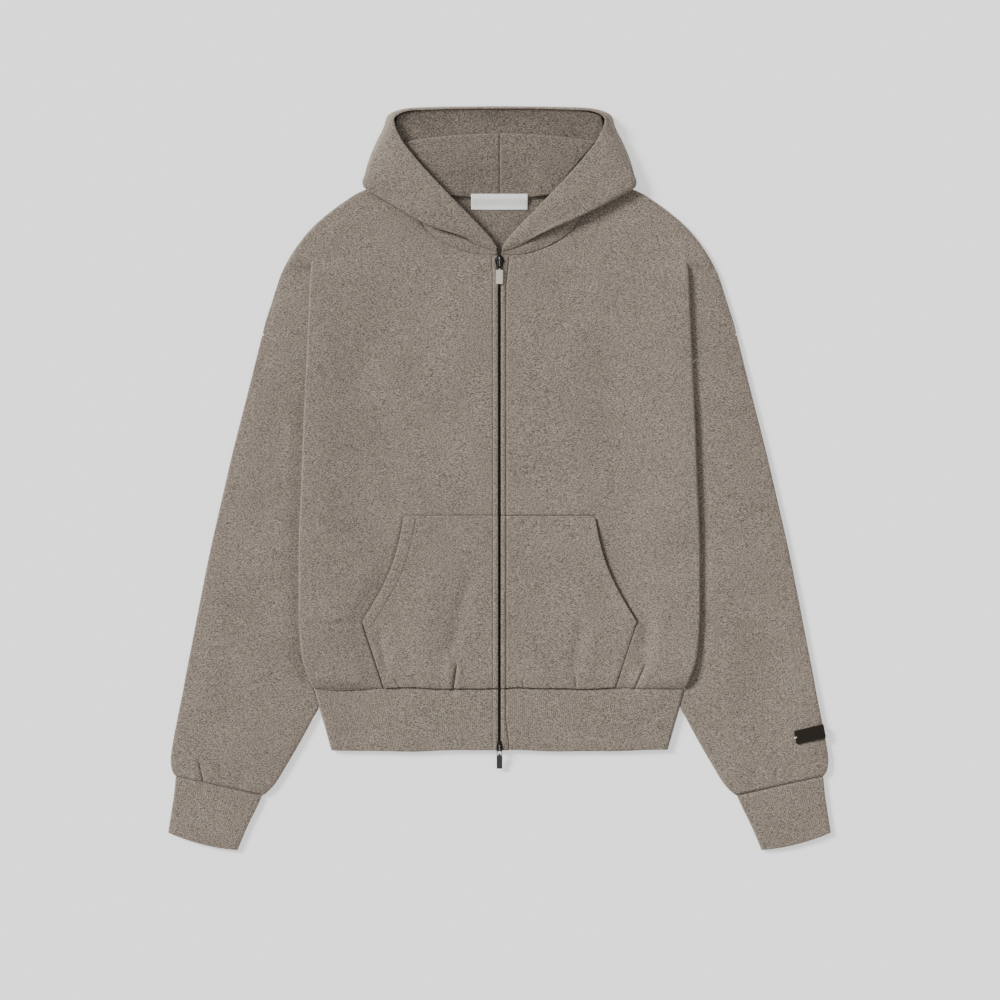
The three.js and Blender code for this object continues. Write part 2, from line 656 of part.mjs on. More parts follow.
// The ring that joins a pull's tab to its slider, hinged under the slider's bridge.
function linkGeometry({ linkEnd }) {
  const { half, bar } = LINK;
  const t = bar / 2;
  const pin = new THREE.CylinderGeometry(t, t, half * 2, 8).rotateZ(Math.PI / 2);
  return geometryOf(
    solidOf(pin)
      .add(box(-half, -half + bar, -linkEnd, t, -t, t))
      .add(box(half - bar, half, -linkEnd, t, -t, t))
      .add(box(-half, half, -linkEnd, -linkEnd + bar, -t, t)),
  );
}

function tabGeometry({ tabFrom, tabTo, tabHalf }) {
  const r = 1;
  const shape = new THREE.Shape();
  shape.moveTo(-tabHalf + r, -tabTo);
  shape.lineTo(tabHalf - r, -tabTo);
  shape.quadraticCurveTo(tabHalf, -tabTo, tabHalf, -tabTo + r);
  shape.lineTo(tabHalf, -tabFrom);
  shape.lineTo(-tabHalf, -tabFrom);
  shape.lineTo(-tabHalf, -tabTo + r);
  shape.quadraticCurveTo(-tabHalf, -tabTo, -tabHalf + r, -tabTo);
  const options = { depth: TAB_THICK, bevelEnabled: false, curveSegments: 4 };
  return new THREE.ExtrudeGeometry(shape, options).translate(0, 0, -TAB_THICK / 2);
}

// A slider and its pull, which hangs from the hinge in a group of its own.
function addSlider(name, size, tabMaterial) {
  add(`slider_${name}`, sliderGeometry(size), DARK_METAL);
  const pull = new THREE.Group();
  pull.name = `pull_${name}`;
  pull.position.set(0, size.y, HINGE_Z);
  pull.rotation.x = THREE.MathUtils.degToRad(size.droop);
  hoodie.add(pull);
  add(`pull_${name}_link`, linkGeometry(size), DARK_METAL, pull);
  add(`pull_${name}_tab`, tabGeometry(size), tabMaterial, pull);
}

// The bare white label over the neck seam, lying on the back and on the hood's lining.
const NECK_LABEL = { half: 33.5, thick: 0.5 };
const NECK_LABEL_ROWS = [
  { y: 317.4, z: 2.6 },
  { y: 322, z: 3 },
  { y: 327, z: 4.6 },
  { y: 331, z: 5.8 },
  { y: 336, z: 6.1 },
];
function neckLabelGeometry() {
  const columns = [-1, 0, 1].map((u) => u * NECK_LABEL.half);
  const rows = NECK_LABEL_ROWS.map(({ y, z }) => columns.map((x) => new THREE.Vector3(x, y, z)));
  return wallGeometry(rows, NECK_LABEL.thick);
}

// The bare dark label across the outer edge of the left sleeve, above its cuff.
const SLEEVE_LABEL = { low: 7.9, high: 8.9 };
const SLEEVE_LABEL_CORNERS = [
  [347.3, -298],
  [350.8, -313.8],
  [385.3, -306.2],
  [382.3, -289.7],
];

add("back", backGeometry(), FLEECE);
addPair("front", frontGeometry(), FLEECE);
addPair("sleeve", sleeveGeometry(), FLEECE);
addPair("cuff", cuffGeometry(), RIBBING);
add("waistband", waistbandGeometry(), RIBBING);
addPair("pocket", pocketGeometry(), FLEECE);
addPair("hood", hoodGeometry(), FLEECE);
addPair("hood_lining", liningGeometry(), FLEECE);
add("hood_crown", crownGeometry(), FLEECE);
add("neck_label", neckLabelGeometry(), WHITE_WEAVE);
const labelCorners = SLEEVE_LABEL_CORNERS.map(([x, y]) => new THREE.Vector2(x, y));
add("sleeve_label", plateGeometry(labelCorners, SLEEVE_LABEL.low, SLEEVE_LABEL.high), DARK_RUBBER);
const { from, to, low, high, topY, lowY } = TAPE_SIZE;
addPair("zip_tape", geometryOf(box(from, to, lowY, topY, low, high)), TAPE);
const { teethX, teethLow, teethHigh } = ZIP;
add("zip_teeth", geometryOf(box(-teethX, teethX, ZIP.lowY, ZIP.topY, teethLow, teethHigh)), DARK_METAL);
addSlider("top", SLIDER_TOP, PALE_METAL);
addSlider("bottom", SLIDER_LOW, DARK_METAL);

export default hoodie;
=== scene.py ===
import math

import bpy
import numpy as np
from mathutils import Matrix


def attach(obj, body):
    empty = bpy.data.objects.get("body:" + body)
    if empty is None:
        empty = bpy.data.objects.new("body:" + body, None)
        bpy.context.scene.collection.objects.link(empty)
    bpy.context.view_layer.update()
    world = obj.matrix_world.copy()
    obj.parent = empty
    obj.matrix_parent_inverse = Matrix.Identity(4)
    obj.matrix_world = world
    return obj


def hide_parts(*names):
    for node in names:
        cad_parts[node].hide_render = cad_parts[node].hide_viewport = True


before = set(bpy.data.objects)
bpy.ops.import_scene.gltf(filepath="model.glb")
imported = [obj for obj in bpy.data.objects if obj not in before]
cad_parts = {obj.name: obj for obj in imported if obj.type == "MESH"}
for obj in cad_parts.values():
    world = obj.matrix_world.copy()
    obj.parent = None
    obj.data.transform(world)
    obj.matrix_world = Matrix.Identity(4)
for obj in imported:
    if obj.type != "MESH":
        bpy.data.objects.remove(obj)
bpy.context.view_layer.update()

# Everything below is worked out in millimetres and made in metres.
MM = 0.001
CLOTH = 2.0
RIB = 2.4
SEAM = 0.3
HEM_Y = -248.0
WAISTBAND = 73.0
REST_Z = 5.8
FOLD_R = 1.65
ARMPIT_Y = 60.0
PLEAT_TOP_Y = 262.0
ZIP_EDGE_X = 1.5
LOWEST_Z = 3.4
CHEST_RISE = 105.0
NECK_Y = 263.7
SIDES = ((1, "left"), (-1, "right"))
ALL_EDGES = "left right bottom top"


def rows_of(names, *values):
    """A table with named columns, as a dict of arrays."""
    array = np.array(values, float)
    return {name: array[:, i] for i, name in enumerate(names.split())}


BODY = rows_of(
    "y fold tuck top",
    (HEM_Y, 218.5, 205, 7.6),
    (-243, 220.6, 205.2, 10),
    (-236, 223.5, 205.5, 12),
    (-222, 229, 206, 12.2),
    (-200, 233.5, 206, 12),
    (-155, 236, 205, 12),
    (-96, 236, 205, 12),
    (4, 232.5, 204, 12),
    (69, 230, 204, 12),
    (146, 226.5, 206, 12),
    (200, 224, 210, 12),
    (236, 222.5, 216, 11.4),
    (PLEAT_TOP_Y, 219, 219, 7.4),
    (290, 196, 196, 6.4),
    (320, 158, 158, 5.8),
    (344, 104, 104, 4.8),
)
SHOULDER = rows_of(
    "x y",
    (92, 350), (128, 347), (160, 340.5), (184, 326.5), (203.5, 312), (219.5, 298),
    (232, 284), (242.5, 269.5), (251, 255.5), (258, 241.5), (263, 227), (267.5, 213),
    (272, 199), (276.5, 185), (280.3, 170),
)
ARMHOLE = rows_of(
    "x y",
    (280.3, 170), (266, 161), (252, 152.5), (240, 146), (229, 138), (219, 124),
    (212.5, 104), (209, 82), (207, ARMPIT_Y),
)
NECK_FRONT = rows_of(
    "x y",
    (0, NECK_Y), (23.6, 264), (37, 266.8), (49, 270.6), (60, 275), (78, 286.5), (91, 300),
    (96, 316), (97.5, 334), (98, 352),
)
NECK_BACK = rows_of(
    "x y",
    (0, 330), (24, 330.4), (46, 332.2), (66, 336), (82, 342), (92, 350),
)
SLEEVE = rows_of(
    "outX outY inX inY high",
    (280.3, 170, 208.5, 60, 6.4),
    (287.5, 141, 209, 30, 6.6),
    (299, 95, 209.5, -20, 6.8),
    (315.7, 29, 210, -76, 7),
    (330, -33, 210, -130, 7),
    (342, -86, 210.5, -176, 7.2),
    (354, -146, 212, -214, 7.2),
    (364, -198, 218.8, -236, 6.6),
    (370.5, -231, 219.4, -247, 6.6),
    (374, -251, 213.4, -268, 7.2),
    (378.8, -275, 220.6, -283.5, 7.6),
    (385, -307, 235.4, -311, 7.6),
    (388.4, -330, 252, -339.5, 7.4),
    (387, -344, 265.4, -361, 7),
    (382.8, -351, 278, -373.5, 6.6),
)
CUFF = rows_of(
    "outX outY inX inY high",
    (382.6, -351.6, 280.4, -375, 6.2),
    (384.4, -371.5, 287, -389.2, 6.3),
    (388.2, -397, 298, -411.5, 6.3),
    (391.6, -418.4, 309.5, -439, 6.2),
)
CUFF_BOW = 3.5
BAND = rows_of(
    "y side",
    (HEM_Y - SEAM, 217.6), (-268.5, 212.4), (-294, 205), (HEM_Y - WAISTBAND, 197.6),
)
POCKET_TOP = -44.3
POCKET_TOP_X = 112.7
POCKET_CORNER = (162.0, -169.0)
POCKET_FOOT_X = 136.0
POCKET_MOUTH_BEND = 9.0
POCKET_GAP = 0.8
POCKET_CLOTH = 1.8
HOOD = rows_of(
    "edgeX edgeY edgeZ foldX foldY foldZ low turn seamX seamY seamZ",
    (3.4, 272.8, 9.6, 2.9, 268.5, 9, 8, 0.1, 2.2, 264.5, 6.4),
    (9, 282, 10.8, 20, 274.5, 10.6, 8.4, 0.4, 24, 264.7, 6.3),
    (24.5, 299, 13.4, 38, 283.6, 13, 8, 4, 45, 269.7, 6.3),
    (45.5, 320.3, 16.4, 59, 293.7, 15, 8.2, 8, 66.5, 279.3, 6.4),
    (62, 337.2, 18, 82, 303.8, 15.6, 8.8, 10, 84.5, 293.1, 6.6),
    (75, 351, 19, 108, 315.8, 15.6, 9.2, 11, 95.8, 312.6, 7),
    (86, 362.8, 19.5, 139, 331.7, 14, 9, 11, 95, 333, 7.4),
    (96, 374, 19.5, 159.5, 344.6, 12.5, 6.6, 10, 88, 352, 6.4),
    (104, 384, 19.5, 157, 361, 11, 4, 9, 60, 338, 4),
    (112, 394, 19.5, 151, 377, 10, 1.2, 8, 22, 333, 1.2),
    (118, 404, 19.5, 142.2, 397, 10, 1.2, 8, 0, 352, 1.2),
    (122.5, 415, 19.5, 133.6, 414, 10, 1.2, 8, 0, 384, 1.2),
    (122.5, 425, 19.5, 127, 429, 10, 1.2, 7, 0, 406, 1.2),
    (108, 432, 19.5, 110, 435.4, 10, 1.2, 6, 0, 418, 1.2),
    (78, 433.8, 19.5, 78, 437.2, 10, 1.2, 6, 0, 424, 1.2),
    (40, 434.8, 19.5, 40, 437.8, 10, 1.2, 6, 0, 427, 1.2),
    (0, 435, 19.5, 0, 438.1, 10, 1.2, 6, 0, 430, 1.2),
)


def stacked(*columns):
    """Columns side by side in a last axis, with a single value repeated where it is needed."""
    return np.stack(np.broadcast_arrays(*columns), -1)


def smooth(t):
    t = np.clip(t, 0, 1)
    return t * t * (3 - 2 * t)


def curve_of(table, key, column):
    """A curve through one column of a table, read at values of another."""
    order = np.argsort(table[key])
    ks, vs = table[key][order], table[column][order]
    slopes = np.diff(vs) / np.diff(ks)
    before, after = slopes[:-1], slopes[1:]
    together = before + after
    shared = 2 * before * after / np.where(together == 0, 1, together)
    inner = np.where(before * after > 0, shared, 0)
    tangents = np.concatenate([slopes[:1], inner, slopes[-1:]])

    def read(at):
        at = np.clip(np.asarray(at, float), ks[0], ks[-1])
        i = np.clip(np.searchsorted(ks, at) - 1, 0, len(ks) - 2)
        step = ks[i + 1] - ks[i]
        t = (at - ks[i]) / step
        return (
            vs[i] * (2 * t**3 - 3 * t**2 + 1)
            + tangents[i] * step * (t**3 - 2 * t**2 + t)
            + vs[i + 1] * (3 * t**2 - 2 * t**3)
            + tangents[i + 1] * step * (t**3 - t**2)
        )

    return read


def through(points, t):
    """A smooth line through points, read at places counted in points."""
    points = np.asarray(points, float)
    t = np.asarray(t, float)
    last = len(points) - 1
    i = np.clip(t.astype(int), 0, last - 1)
    f = (t - i)[:, None]
    p0, p1 = points[np.maximum(i - 1, 0)], points[i]
    p2, p3 = points[i + 1], points[np.minimum(i + 2, last)]
    return 0.5 * (
        2 * p1 + (p2 - p0) * f + (2 * p0 - 5 * p1 + 4 * p2 - p3) * f**2
        + (3 * p1 - p0 - 3 * p2 + p3) * f**3
    )


def evenly(line, count):
    """The same line with its points spread evenly."""
    run = np.concatenate([[0], np.cumsum(np.linalg.norm(np.diff(line, axis=0), axis=1))])
    at = np.linspace(0, run[-1], count)
    return np.stack([np.interp(at, run, line[:, k]) for k in range(line.shape[1])], axis=1)


body_fold = curve_of(BODY, "y", "fold")
body_tuck = curve_of(BODY, "y", "tuck")
body_top = curve_of(BODY, "y", "top")
shoulder_x = curve_of(SHOULDER, "y", "x")
armhole_x = curve_of(ARMHOLE, "y", "x")
neck_front_x = curve_of(NECK_FRONT, "y", "x")
neck_back_x = curve_of(NECK_BACK, "y", "x")
band_side = curve_of(BAND, "y", "side")

# Short gathers and creases, as lines with a depth below the cloth, in the photograph's sense:
# x runs to the wearer's left. A negative depth is a ridge.
CREASES = rows_of(
    "x0 y0 x1 y1 width depth",
    (-50.6, -221, -54.6, -248, 1.3, 4),
    (-58, -212, -62, -248, 5, -1.1),
    (-45, -214, -48.5, -248, 4.5, -0.7),
    (27.6, -238, 28.6, -249, 1.2, 1.5),
    (90, -233, 90.5, -246, 1.6, 1.3),
    (171.5, -222, 159.5, -248, 1.3, 2.6),
    (179, -222, 168, -248, 5, -0.8),
    (-123.5, -236, -117.6, -247, 1.3, 1.4),
    (-100, -232, -98, -246, 3, 0.7),
    (62, -236, 60, -248, 3, 0.6),
)
SOFT_FOLDS = rows_of(
    "x0 y0 x1 y1 width depth",
    (208, -70, 208, -190, 72, 2.2),
    (-36, -112, -56, -200, 9, 1.9),
    (-80, -120, -88, -215, 14, -1.3),
    (-142, -180, -134, -226, 5, 1.6),
    (-130, 20, -112, -40, 20, 1.2),
    (176, -168, 171, -218, 8, 1.7),
    (192, -150, 186, -215, 10, -1.2),
    (-165, -70, -190, -20, 20, 1.2),
    (98, -168, 88, -226, 8, 1.4),
    (112, -180, 106, -226, 8, -0.9),
    (35, -60, 30, -120, 18, 0.7),
    (-150, 170, -185, 60, 26, 1.2),
    (-110, 190, -140, 90, 24, -0.9),
    (120, 190, 150, 60, 28, 1.0),
    (84, 170, 108, 60, 24, -0.7),
    (-70, 230, -100, 190, 18, 0.9),
    (70, 235, 104, 196, 18, 0.9),
)


def line_dents(x, y, table):
    """How far each point lies below the cloth's plain surface, for a table of lines."""
    dent = np.zeros_like(x)
    for x0, y0, x1, y1, width, depth in zip(*table.values()):
        dx, dy = x1 - x0, y1 - y0
        length = math.hypot(dx, dy)
        along = ((x - x0) * dx + (y - y0) * dy) / length**2
        across = ((x - x0) * dy - (y - y0) * dx) / length
        fade = smooth((along + 0.25) / 0.5) * smooth((1.25 - along) / 0.3)
        dent += depth * fade * np.exp(-((across / width) ** 2))
    return dent


def relief(x, y):
    """The unevenness of cloth that has been worn and smoothed flat."""
    wave = 0.4 * np.sin(x / 37 + 0.8 * np.sin(y / 71)) * np.sin(y / 93 + 0.7)
    wave += 0.3 * np.sin(x / 19 + y / 47 + 1.1) * np.sin(y / 61 - x / 83)
    return wave - line_dents(x, y, SOFT_FOLDS) - line_dents(x, y, CREASES)


def bump(distance, width):
    return np.exp(-((distance / width) ** 2))


def hem_wave(x):
    """How the seam of body and waistband wanders."""
    calm = smooth((np.abs(x) - 6) / 14) * smooth((214 - np.abs(x)) / 20)
    return calm * (0.8 * np.sin(x / 21 + 0.6) + 0.45 * np.sin(x / 9.7))


def chest_z(x, y):
    """The middle of the front's cloth on the wearer's left half."""
    t = smooth((x - (body_fold(y) - CHEST_RISE)) / (CHEST_RISE - FOLD_R))
    return REST_Z + (body_top(y) - REST_Z) * t


def mouth_x(y):
    """The line of the hand opening, carried on below its corner."""
    top_x, (corner_x, corner_y) = POCKET_TOP_X, POCKET_CORNER
    t = (POCKET_TOP - y) / (POCKET_TOP - corner_y)
    bow = np.where(t < 1, np.sin(math.pi * np.clip(t, 0, 1)), -math.pi * (t - 1))
    return top_x + (corner_x - top_x) * t - POCKET_MOUTH_BEND * bow


def pocket_side(y):
    corner_x, corner_y = POCKET_CORNER
    below = corner_x + (POCKET_FOOT_X - corner_x) * (y - corner_y) / (HEM_Y - corner_y)
    return np.where(y < corner_y, below, mouth_x(y))


def pocket_gap(x, y):
    """How far a point lies outside the pocket's outline, seen from above."""
    beside = (np.abs(x) - pocket_side(y)) * 0.94
    return np.maximum(beside, y - POCKET_TOP)


def front_z(x, y):
    """Height of the middle of the front's cloth, with its folds, seams and pressed lines."""
    x, y = np.broadcast_arrays(np.asarray(x, float), np.asarray(y, float))
    a = np.abs(x)
    right_half = x < 0
    z = chest_z(a, y) + relief(x, y)
    gap = pocket_gap(x, y)
    mouth = smooth((y - POCKET_CORNER[1] + 4) / 8) * smooth((POCKET_TOP + 4 - y) / 8)
    foot = smooth((POCKET_CORNER[1] + 2 - y) / 10)
    press = np.where(right_half, 0.6 + 0.5 * mouth + 1.9 * foot, 0.7 + 1.2 * mouth - 0.5 * foot)
    z = z - press * bump(gap, np.where(right_half, 2.3 - 0.5 * foot, 1.7))
    valley = 2.6 * mouth * smooth((-60 - y) / 60) + 2 * foot
    z = z + right_half * valley * smooth((gap - 3) / 22) * smooth((90 - gap) / 64)
    z = z + ~right_half * foot * 1.1 * smooth(gap / 1.2) * bump(gap - 2, 6)
    z = z - placket_groove(x, y) * smooth((263 - y) / 2)
    z = z + 0.5 * bump(a - 5, 2.2) * smooth((262 - y) / 4)
    z = z + 0.35 * bump(y - HEM_Y - 14, 9) - 1.0 * bump(y - HEM_Y, 2.2)
    neck = (y > 258) * bump(neck_gap(a, y), 2.2)
    return np.maximum(z - (0.8 + 0.5 * right_half) * neck, LOWEST_Z + 0.2)


def placket_x(x, y):
    """Distance of the line of stitches from the middle: a little wider at its two ends."""
    right = 7.7 + 3.4 * smooth((y - 222) / 40) + 3.6 * smooth((-280 - y) / 40)
    left = 7.8 + 1.6 * smooth((y - 235) / 30)
    return np.where(x > 0, right, left)


def placket_groove(x, y):
    off = np.abs(x) - placket_x(x, y)
    return np.where(x > 0, 2.5 * bump(off, 0.8), 1.1 * bump(off, 0.7))


def neck_gap(a, y):
    return (a - neck_front_x(np.clip(y, NECK_Y, 350))) * 0.75


def steps(length, step, near=(0, 0.15, 0.4, 0.8, 1.4, 2.2), far=True):
    """Places along a length, closer together at its ends."""
    near = [n for n in near if n < length / 3]
    inner = np.linspace(near[-1], length - (near[-1] if far else 0), max(3, round(length / step)))
    ends = [length - n for n in reversed(near[:-1])] if far else []
    return np.array([*near[:-1], *inner, *ends])


def stretches(*parts):
    """Places over several stretches, each given as its end and its step, from the first start."""
    start = parts[0]
    places = [np.array([start])]
    for end, step in parts[1:]:
        places.append(np.linspace(start, end, max(2, math.ceil(abs(end - start) / step) + 1))[1:])
        start = end
    return np.concatenate(places)


def run_along(points, axis):
    gaps = np.linalg.norm(np.diff(points, axis=axis), axis=2)
    start = np.zeros_like(np.take(gaps, [0], axis=axis))
    return np.concatenate([start, np.cumsum(gaps, axis=axis)], axis=axis)


def normals_of(points, ring):
    if ring:
        across = np.roll(points, -1, axis=1) - np.roll(points, 1, axis=1)
    else:
        across = np.gradient(points, axis=1)
    up = np.gradient(points, axis=0)
    n = np.cross(across, up)
    length = np.linalg.norm(n, axis=2, keepdims=True)
    return n / np.maximum(length, 1e-9)


def rim_share(points, rims):
    """From 0 at the edges that rims names to 1 inside, as the roundness of a cloth's edge."""
    across, up = run_along(points, 1), run_along(points, 0)
    share = np.ones(points.shape[:2])
    for edge, radius in rims.items():
        near = {
            "left": across,
            "right": across[:, -1:] - across,
            "bottom": up,
            "top": up[-1:] - up,
        }[edge]
        radius = np.asarray(radius, float)
        radius = radius[:, None] if radius.ndim else radius
        share = np.minimum(share, np.sqrt(1 - (1 - np.clip(near / radius, 0, 1)) ** 2))
    return share


def grid_faces(tall, wide, ring):
    j, i = np.meshgrid(np.arange(tall - 1), np.arange(wide if ring else wide - 1), indexing="ij")
    k = (i + 1) % wide
    return stacked(j * wide + i, j * wide + k, (j + 1) * wide + k, (j + 1) * wide + i).reshape(-1, 4)


def mesh_object(name, points, faces, uv=None, smooth_faces=True):
    mesh = bpy.data.meshes.new(name)
    mesh.vertices.add(len(points))
    mesh.vertices.foreach_set("co", (np.asarray(points) * MM).astype(np.float32).ravel())
    faces = np.asarray(faces)
    mesh.loops.add(faces.size)
    mesh.loops.foreach_set("vertex_index", faces.ravel().astype(np.int32))
    mesh.polygons.add(len(faces))
    sides = faces.shape[1]
    mesh.polygons.foreach_set("loop_start", np.arange(0, faces.size, sides, dtype=np.int32))
    mesh.polygons.foreach_set("use_smooth", np.full(len(faces), smooth_faces))
    if uv is not None:
        layer = mesh.uv_layers.new(name="cloth")
        layer.data.foreach_set("uv", uv[faces.ravel()].astype(np.float32).ravel())
    mesh.update(calc_edges=True)
    mesh.validate()
    obj = bpy.data.objects.new(name, mesh)
    bpy.context.scene.collection.objects.link(obj)
    return obj


def rims_of(names, radius=1.3):
    return {name: radius for name in names.split()}


def wall_parts(points, half, rims, ring=False, flip=False):
    """Vertices, faces and UVs of a wall of cloth about a grid of points."""
    tall, wide = points.shape[:2]
    share = np.maximum(rim_share(points, rims), 0.04)
    offset = normals_of(points, ring) * (half * share)[..., None]
    vertices = np.concatenate([(points + offset).reshape(-1, 3), (points - offset).reshape(-1, 3)])
    skin = tall * wide
    outer = grid_faces(tall, wide, ring)
    inner = outer[:, ::-1] + skin
    sides = []
    edge_loops = [np.arange(wide), (tall - 1) * wide + np.arange(wide)[::-1]]
    if ring:
        edge_loops = [np.append(loop, loop[0]) for loop in edge_loops]
    else:
        edge_loops += [np.arange(tall)[::-1] * wide, np.arange(tall) * wide + wide - 1]
    for loop in edge_loops:
        a, b = loop[:-1], loop[1:]
        sides.append(stacked(b, a, a + skin, b + skin))
    faces = np.concatenate([outer, inner, *sides])
    if flip:
        faces = faces[:, ::-1]
    u = run_along(points, 1)
    v = run_along(points, 0)
    u = np.repeat(u[len(u) // 2][None], tall, axis=0)
    uv = stacked(u, v).reshape(-1, 2) * MM
    return vertices, faces, np.concatenate([uv, uv])


def middle_area(points, ring=False):
    """Area, width and length of the middle of a wall, in metres."""
    p = points * MM
    if ring:
        p = np.concatenate([p, p[:, :1]], axis=1)
    a = p[1:, 1:] - p[:-1, :-1]
    b = p[1:, :-1] - p[:-1, 1:]
    area = np.linalg.norm(np.cross(a, b), axis=2).sum() / 2
    width = np.linalg.norm(np.diff(p, axis=1), axis=2).sum(axis=1).max()
    length = np.linalg.norm(np.diff(p, axis=0), axis=2).sum(axis=0).max()
    return area, width, length


def lay(obj, node, material, points, ring=False, twice=1):
    """Hides the CAD node that a cloth piece stands for, puts the piece on its body and gives it its
    material. The area and size of its sheet are worked out but not kept.
    """
    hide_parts(node)
    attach(obj, "hoodie")
    obj.data.materials.append(material)
    area, width, length = middle_area(points, ring)
    width *= twice
    area *= twice
    return obj


def mirrored(points, side):
    return points * np.array([side, 1, 1])


def cloth_piece(node, kind, points, half, rims, material, side=1, ring=False):
    """One piece of cloth: a wall about a grid of points, named for its node."""
    v, f, uv = wall_parts(mirrored(points, side), half, rims, ring, flip=ring)
    piece = mesh_object(f"{node}_{kind}", v, f if side > 0 else f[:, ::-1], uv)
    lay(piece, node, material, points, ring)


def started(name):
    """A new material, with its nodes, its links and its shader."""
    material = bpy.data.materials.new(name)
    material.use_nodes = True
    tree = material.node_tree
    return material, tree.nodes, tree.links, tree.nodes["Principled BSDF"]


def set_inputs(node, **values):
    """Sets a node's inputs. A space in an input's name is written as an underscore."""
    for name, value in values.items():
        node.inputs[name.replace("_", " ")].default_value = value


def ramp_of(nodes, links, value, *stops):
    """The colours that a ramp between two stops gives for a value."""
    ramp = nodes.new("ShaderNodeValToRGB")
    for element, (place, colour) in zip(ramp.color_ramp.elements, stops):
        element.position = place
        element.color = (*colour, 1)
    links.new(value, ramp.inputs["Fac"])
    return ramp.outputs["Color"]


def shaded_by(nodes, links, shader, height, strength, depth):
    """Shades a surface as if it rose and fell with a height, by a depth in metres."""
    node = nodes.new("ShaderNodeBump")
    set_inputs(node, Strength=strength, Distance=depth)
    links.new(height, node.inputs["Height"])
    links.new(node.outputs["Normal"], shader.inputs["Normal"])


RIB_SCALE = 130


def fleece_material(name, tint, light=1.0, rib=False, grain=1.0, mottled=1.0):
    """Heathered brushed cloth: short fibres in two directions, soft mottling and a light nap. A light
    below 1 darkens the whole colour as painted shade.
    """
    material, nodes, links, shader = started(name)
    set_inputs(shader, Roughness=0.95, Sheen_Weight=0.25, Sheen_Roughness=0.5, Specular_IOR_Level=0.2)
    where = nodes.new("ShaderNodeTexCoord")

    def noise(scale, stretch, turn, detail, rough):
        mapping = nodes.new("ShaderNodeMapping")
        set_inputs(mapping, Scale=(scale * stretch, scale, scale), Rotation=(0, 0, math.radians(turn)))
        texture = nodes.new("ShaderNodeTexNoise")
        set_inputs(texture, Scale=1, Detail=detail, Roughness=rough)
        links.new(where.outputs["Object"], mapping.inputs["Vector"])
        links.new(mapping.outputs["Vector"], texture.inputs["Vector"])
        return texture.outputs["Fac"]

    def math_node(operation, a, b):
        node = nodes.new("ShaderNodeMath")
        node.operation = operation
        for socket, value in zip(node.inputs, (a, b)):
            if isinstance(value, (int, float)):
                socket.default_value = value
            else:
                links.new(value, socket)
        return node.outputs[0]

    def span(value, low, high):
        node = nodes.new("ShaderNodeMapRange")
        set_inputs(node, From_Min=low, From_Max=high)
        links.new(value, node.inputs["Value"])
        return node.outputs["Result"]

    strokes = noise(1620, 0.3, 10, 1, 0.5)
    cross = noise(1500, 0.4, -22, 1, 0.5)
    specks = noise(1150, 0.75, 30, 1, 0.6)
    fibres = math_node("ADD", math_node("MULTIPLY", strokes, 0.4), math_node("MULTIPLY", cross, 0.34))
    mix = math_node("ADD", fibres, math_node("MULTIPLY", specks, 0.26))
    heather = span(mix, 0.418, 0.582)
    dark = [c * light * (1 - 0.6 * grain) for c in tint]
    pale = [c * light * (1 + 0.68 * grain) for c in tint]
    colours = ramp_of(nodes, links, heather, (0.04, dark), (0.96, pale))
    mottle = span(noise(16, 1, 0, 3, 0.5), 0.3, 0.7)
    ends = (1 - 0.075 * mottled, 1 + 0.055 * mottled)
    stops = [(place, (c, c - 0.005, c - 0.01)) for place, c in enumerate(ends)]
    shade = nodes.new("ShaderNodeMix")
    shade.data_type = "RGBA"
    shade.blend_type = "MULTIPLY"
    set_inputs(shade, Factor=1)
    links.new(colours, shade.inputs["A"])
    links.new(ramp_of(nodes, links, mottle, *stops), shade.inputs["B"])
    links.new(shade.outputs["Result"], shader.inputs["Base Color"])
    height = heather
    if rib:
        wave = nodes.new("ShaderNodeTexWave")
        set_inputs(wave, Scale=1)
        mapping = nodes.new("ShaderNodeMapping")
        set_inputs(mapping, Scale=(RIB_SCALE, 0, 0))
        links.new(where.outputs["UV"], mapping.inputs["Vector"])
        links.new(mapping.outputs["Vector"], wave.inputs["Vector"])
        height = math_node("ADD", heather, math_node("MULTIPLY", wave.outputs["Fac"], 0.8))
    shaded_by(nodes, links, shader, height, 0.45, 0.5 * MM)
    return material


def plain_material(
    name, colour, rough, metal=0.0, spread=0.06, scale=900.0, bump_mm=0.03, gloss=0.5
):
    """One colour with a fine unevenness, for metal, tape, thread and rubber."""
    material, nodes, links, shader = started(name)
    set_inputs(shader, Metallic=metal, Specular_IOR_Level=gloss)
    where = nodes.new("ShaderNodeTexCoord")
    texture = nodes.new("ShaderNodeTexNoise")
    set_inputs(texture, Scale=scale, Detail=3)
    links.new(where.outputs["Object"], texture.inputs["Vector"])
    unevenness = texture.outputs["Fac"]
    dark = [c * (1 - spread) for c in colour]
    pale = [c * (1 + spread) for c in colour]
    links.new(ramp_of(nodes, links, unevenness, (0.3, dark), (0.7, pale)), shader.inputs["Base Color"])
    roughness = nodes.new("ShaderNodeMapRange")
    set_inputs(roughness, To_Min=rough - 0.08, To_Max=min(1, rough + 0.08))
    links.new(unevenness, roughness.inputs["Value"])
    links.new(roughness.outputs["Result"], shader.inputs["Roughness"])
    shaded_by(nodes, links, shader, unevenness, 0.3, bump_mm * MM)
    return material


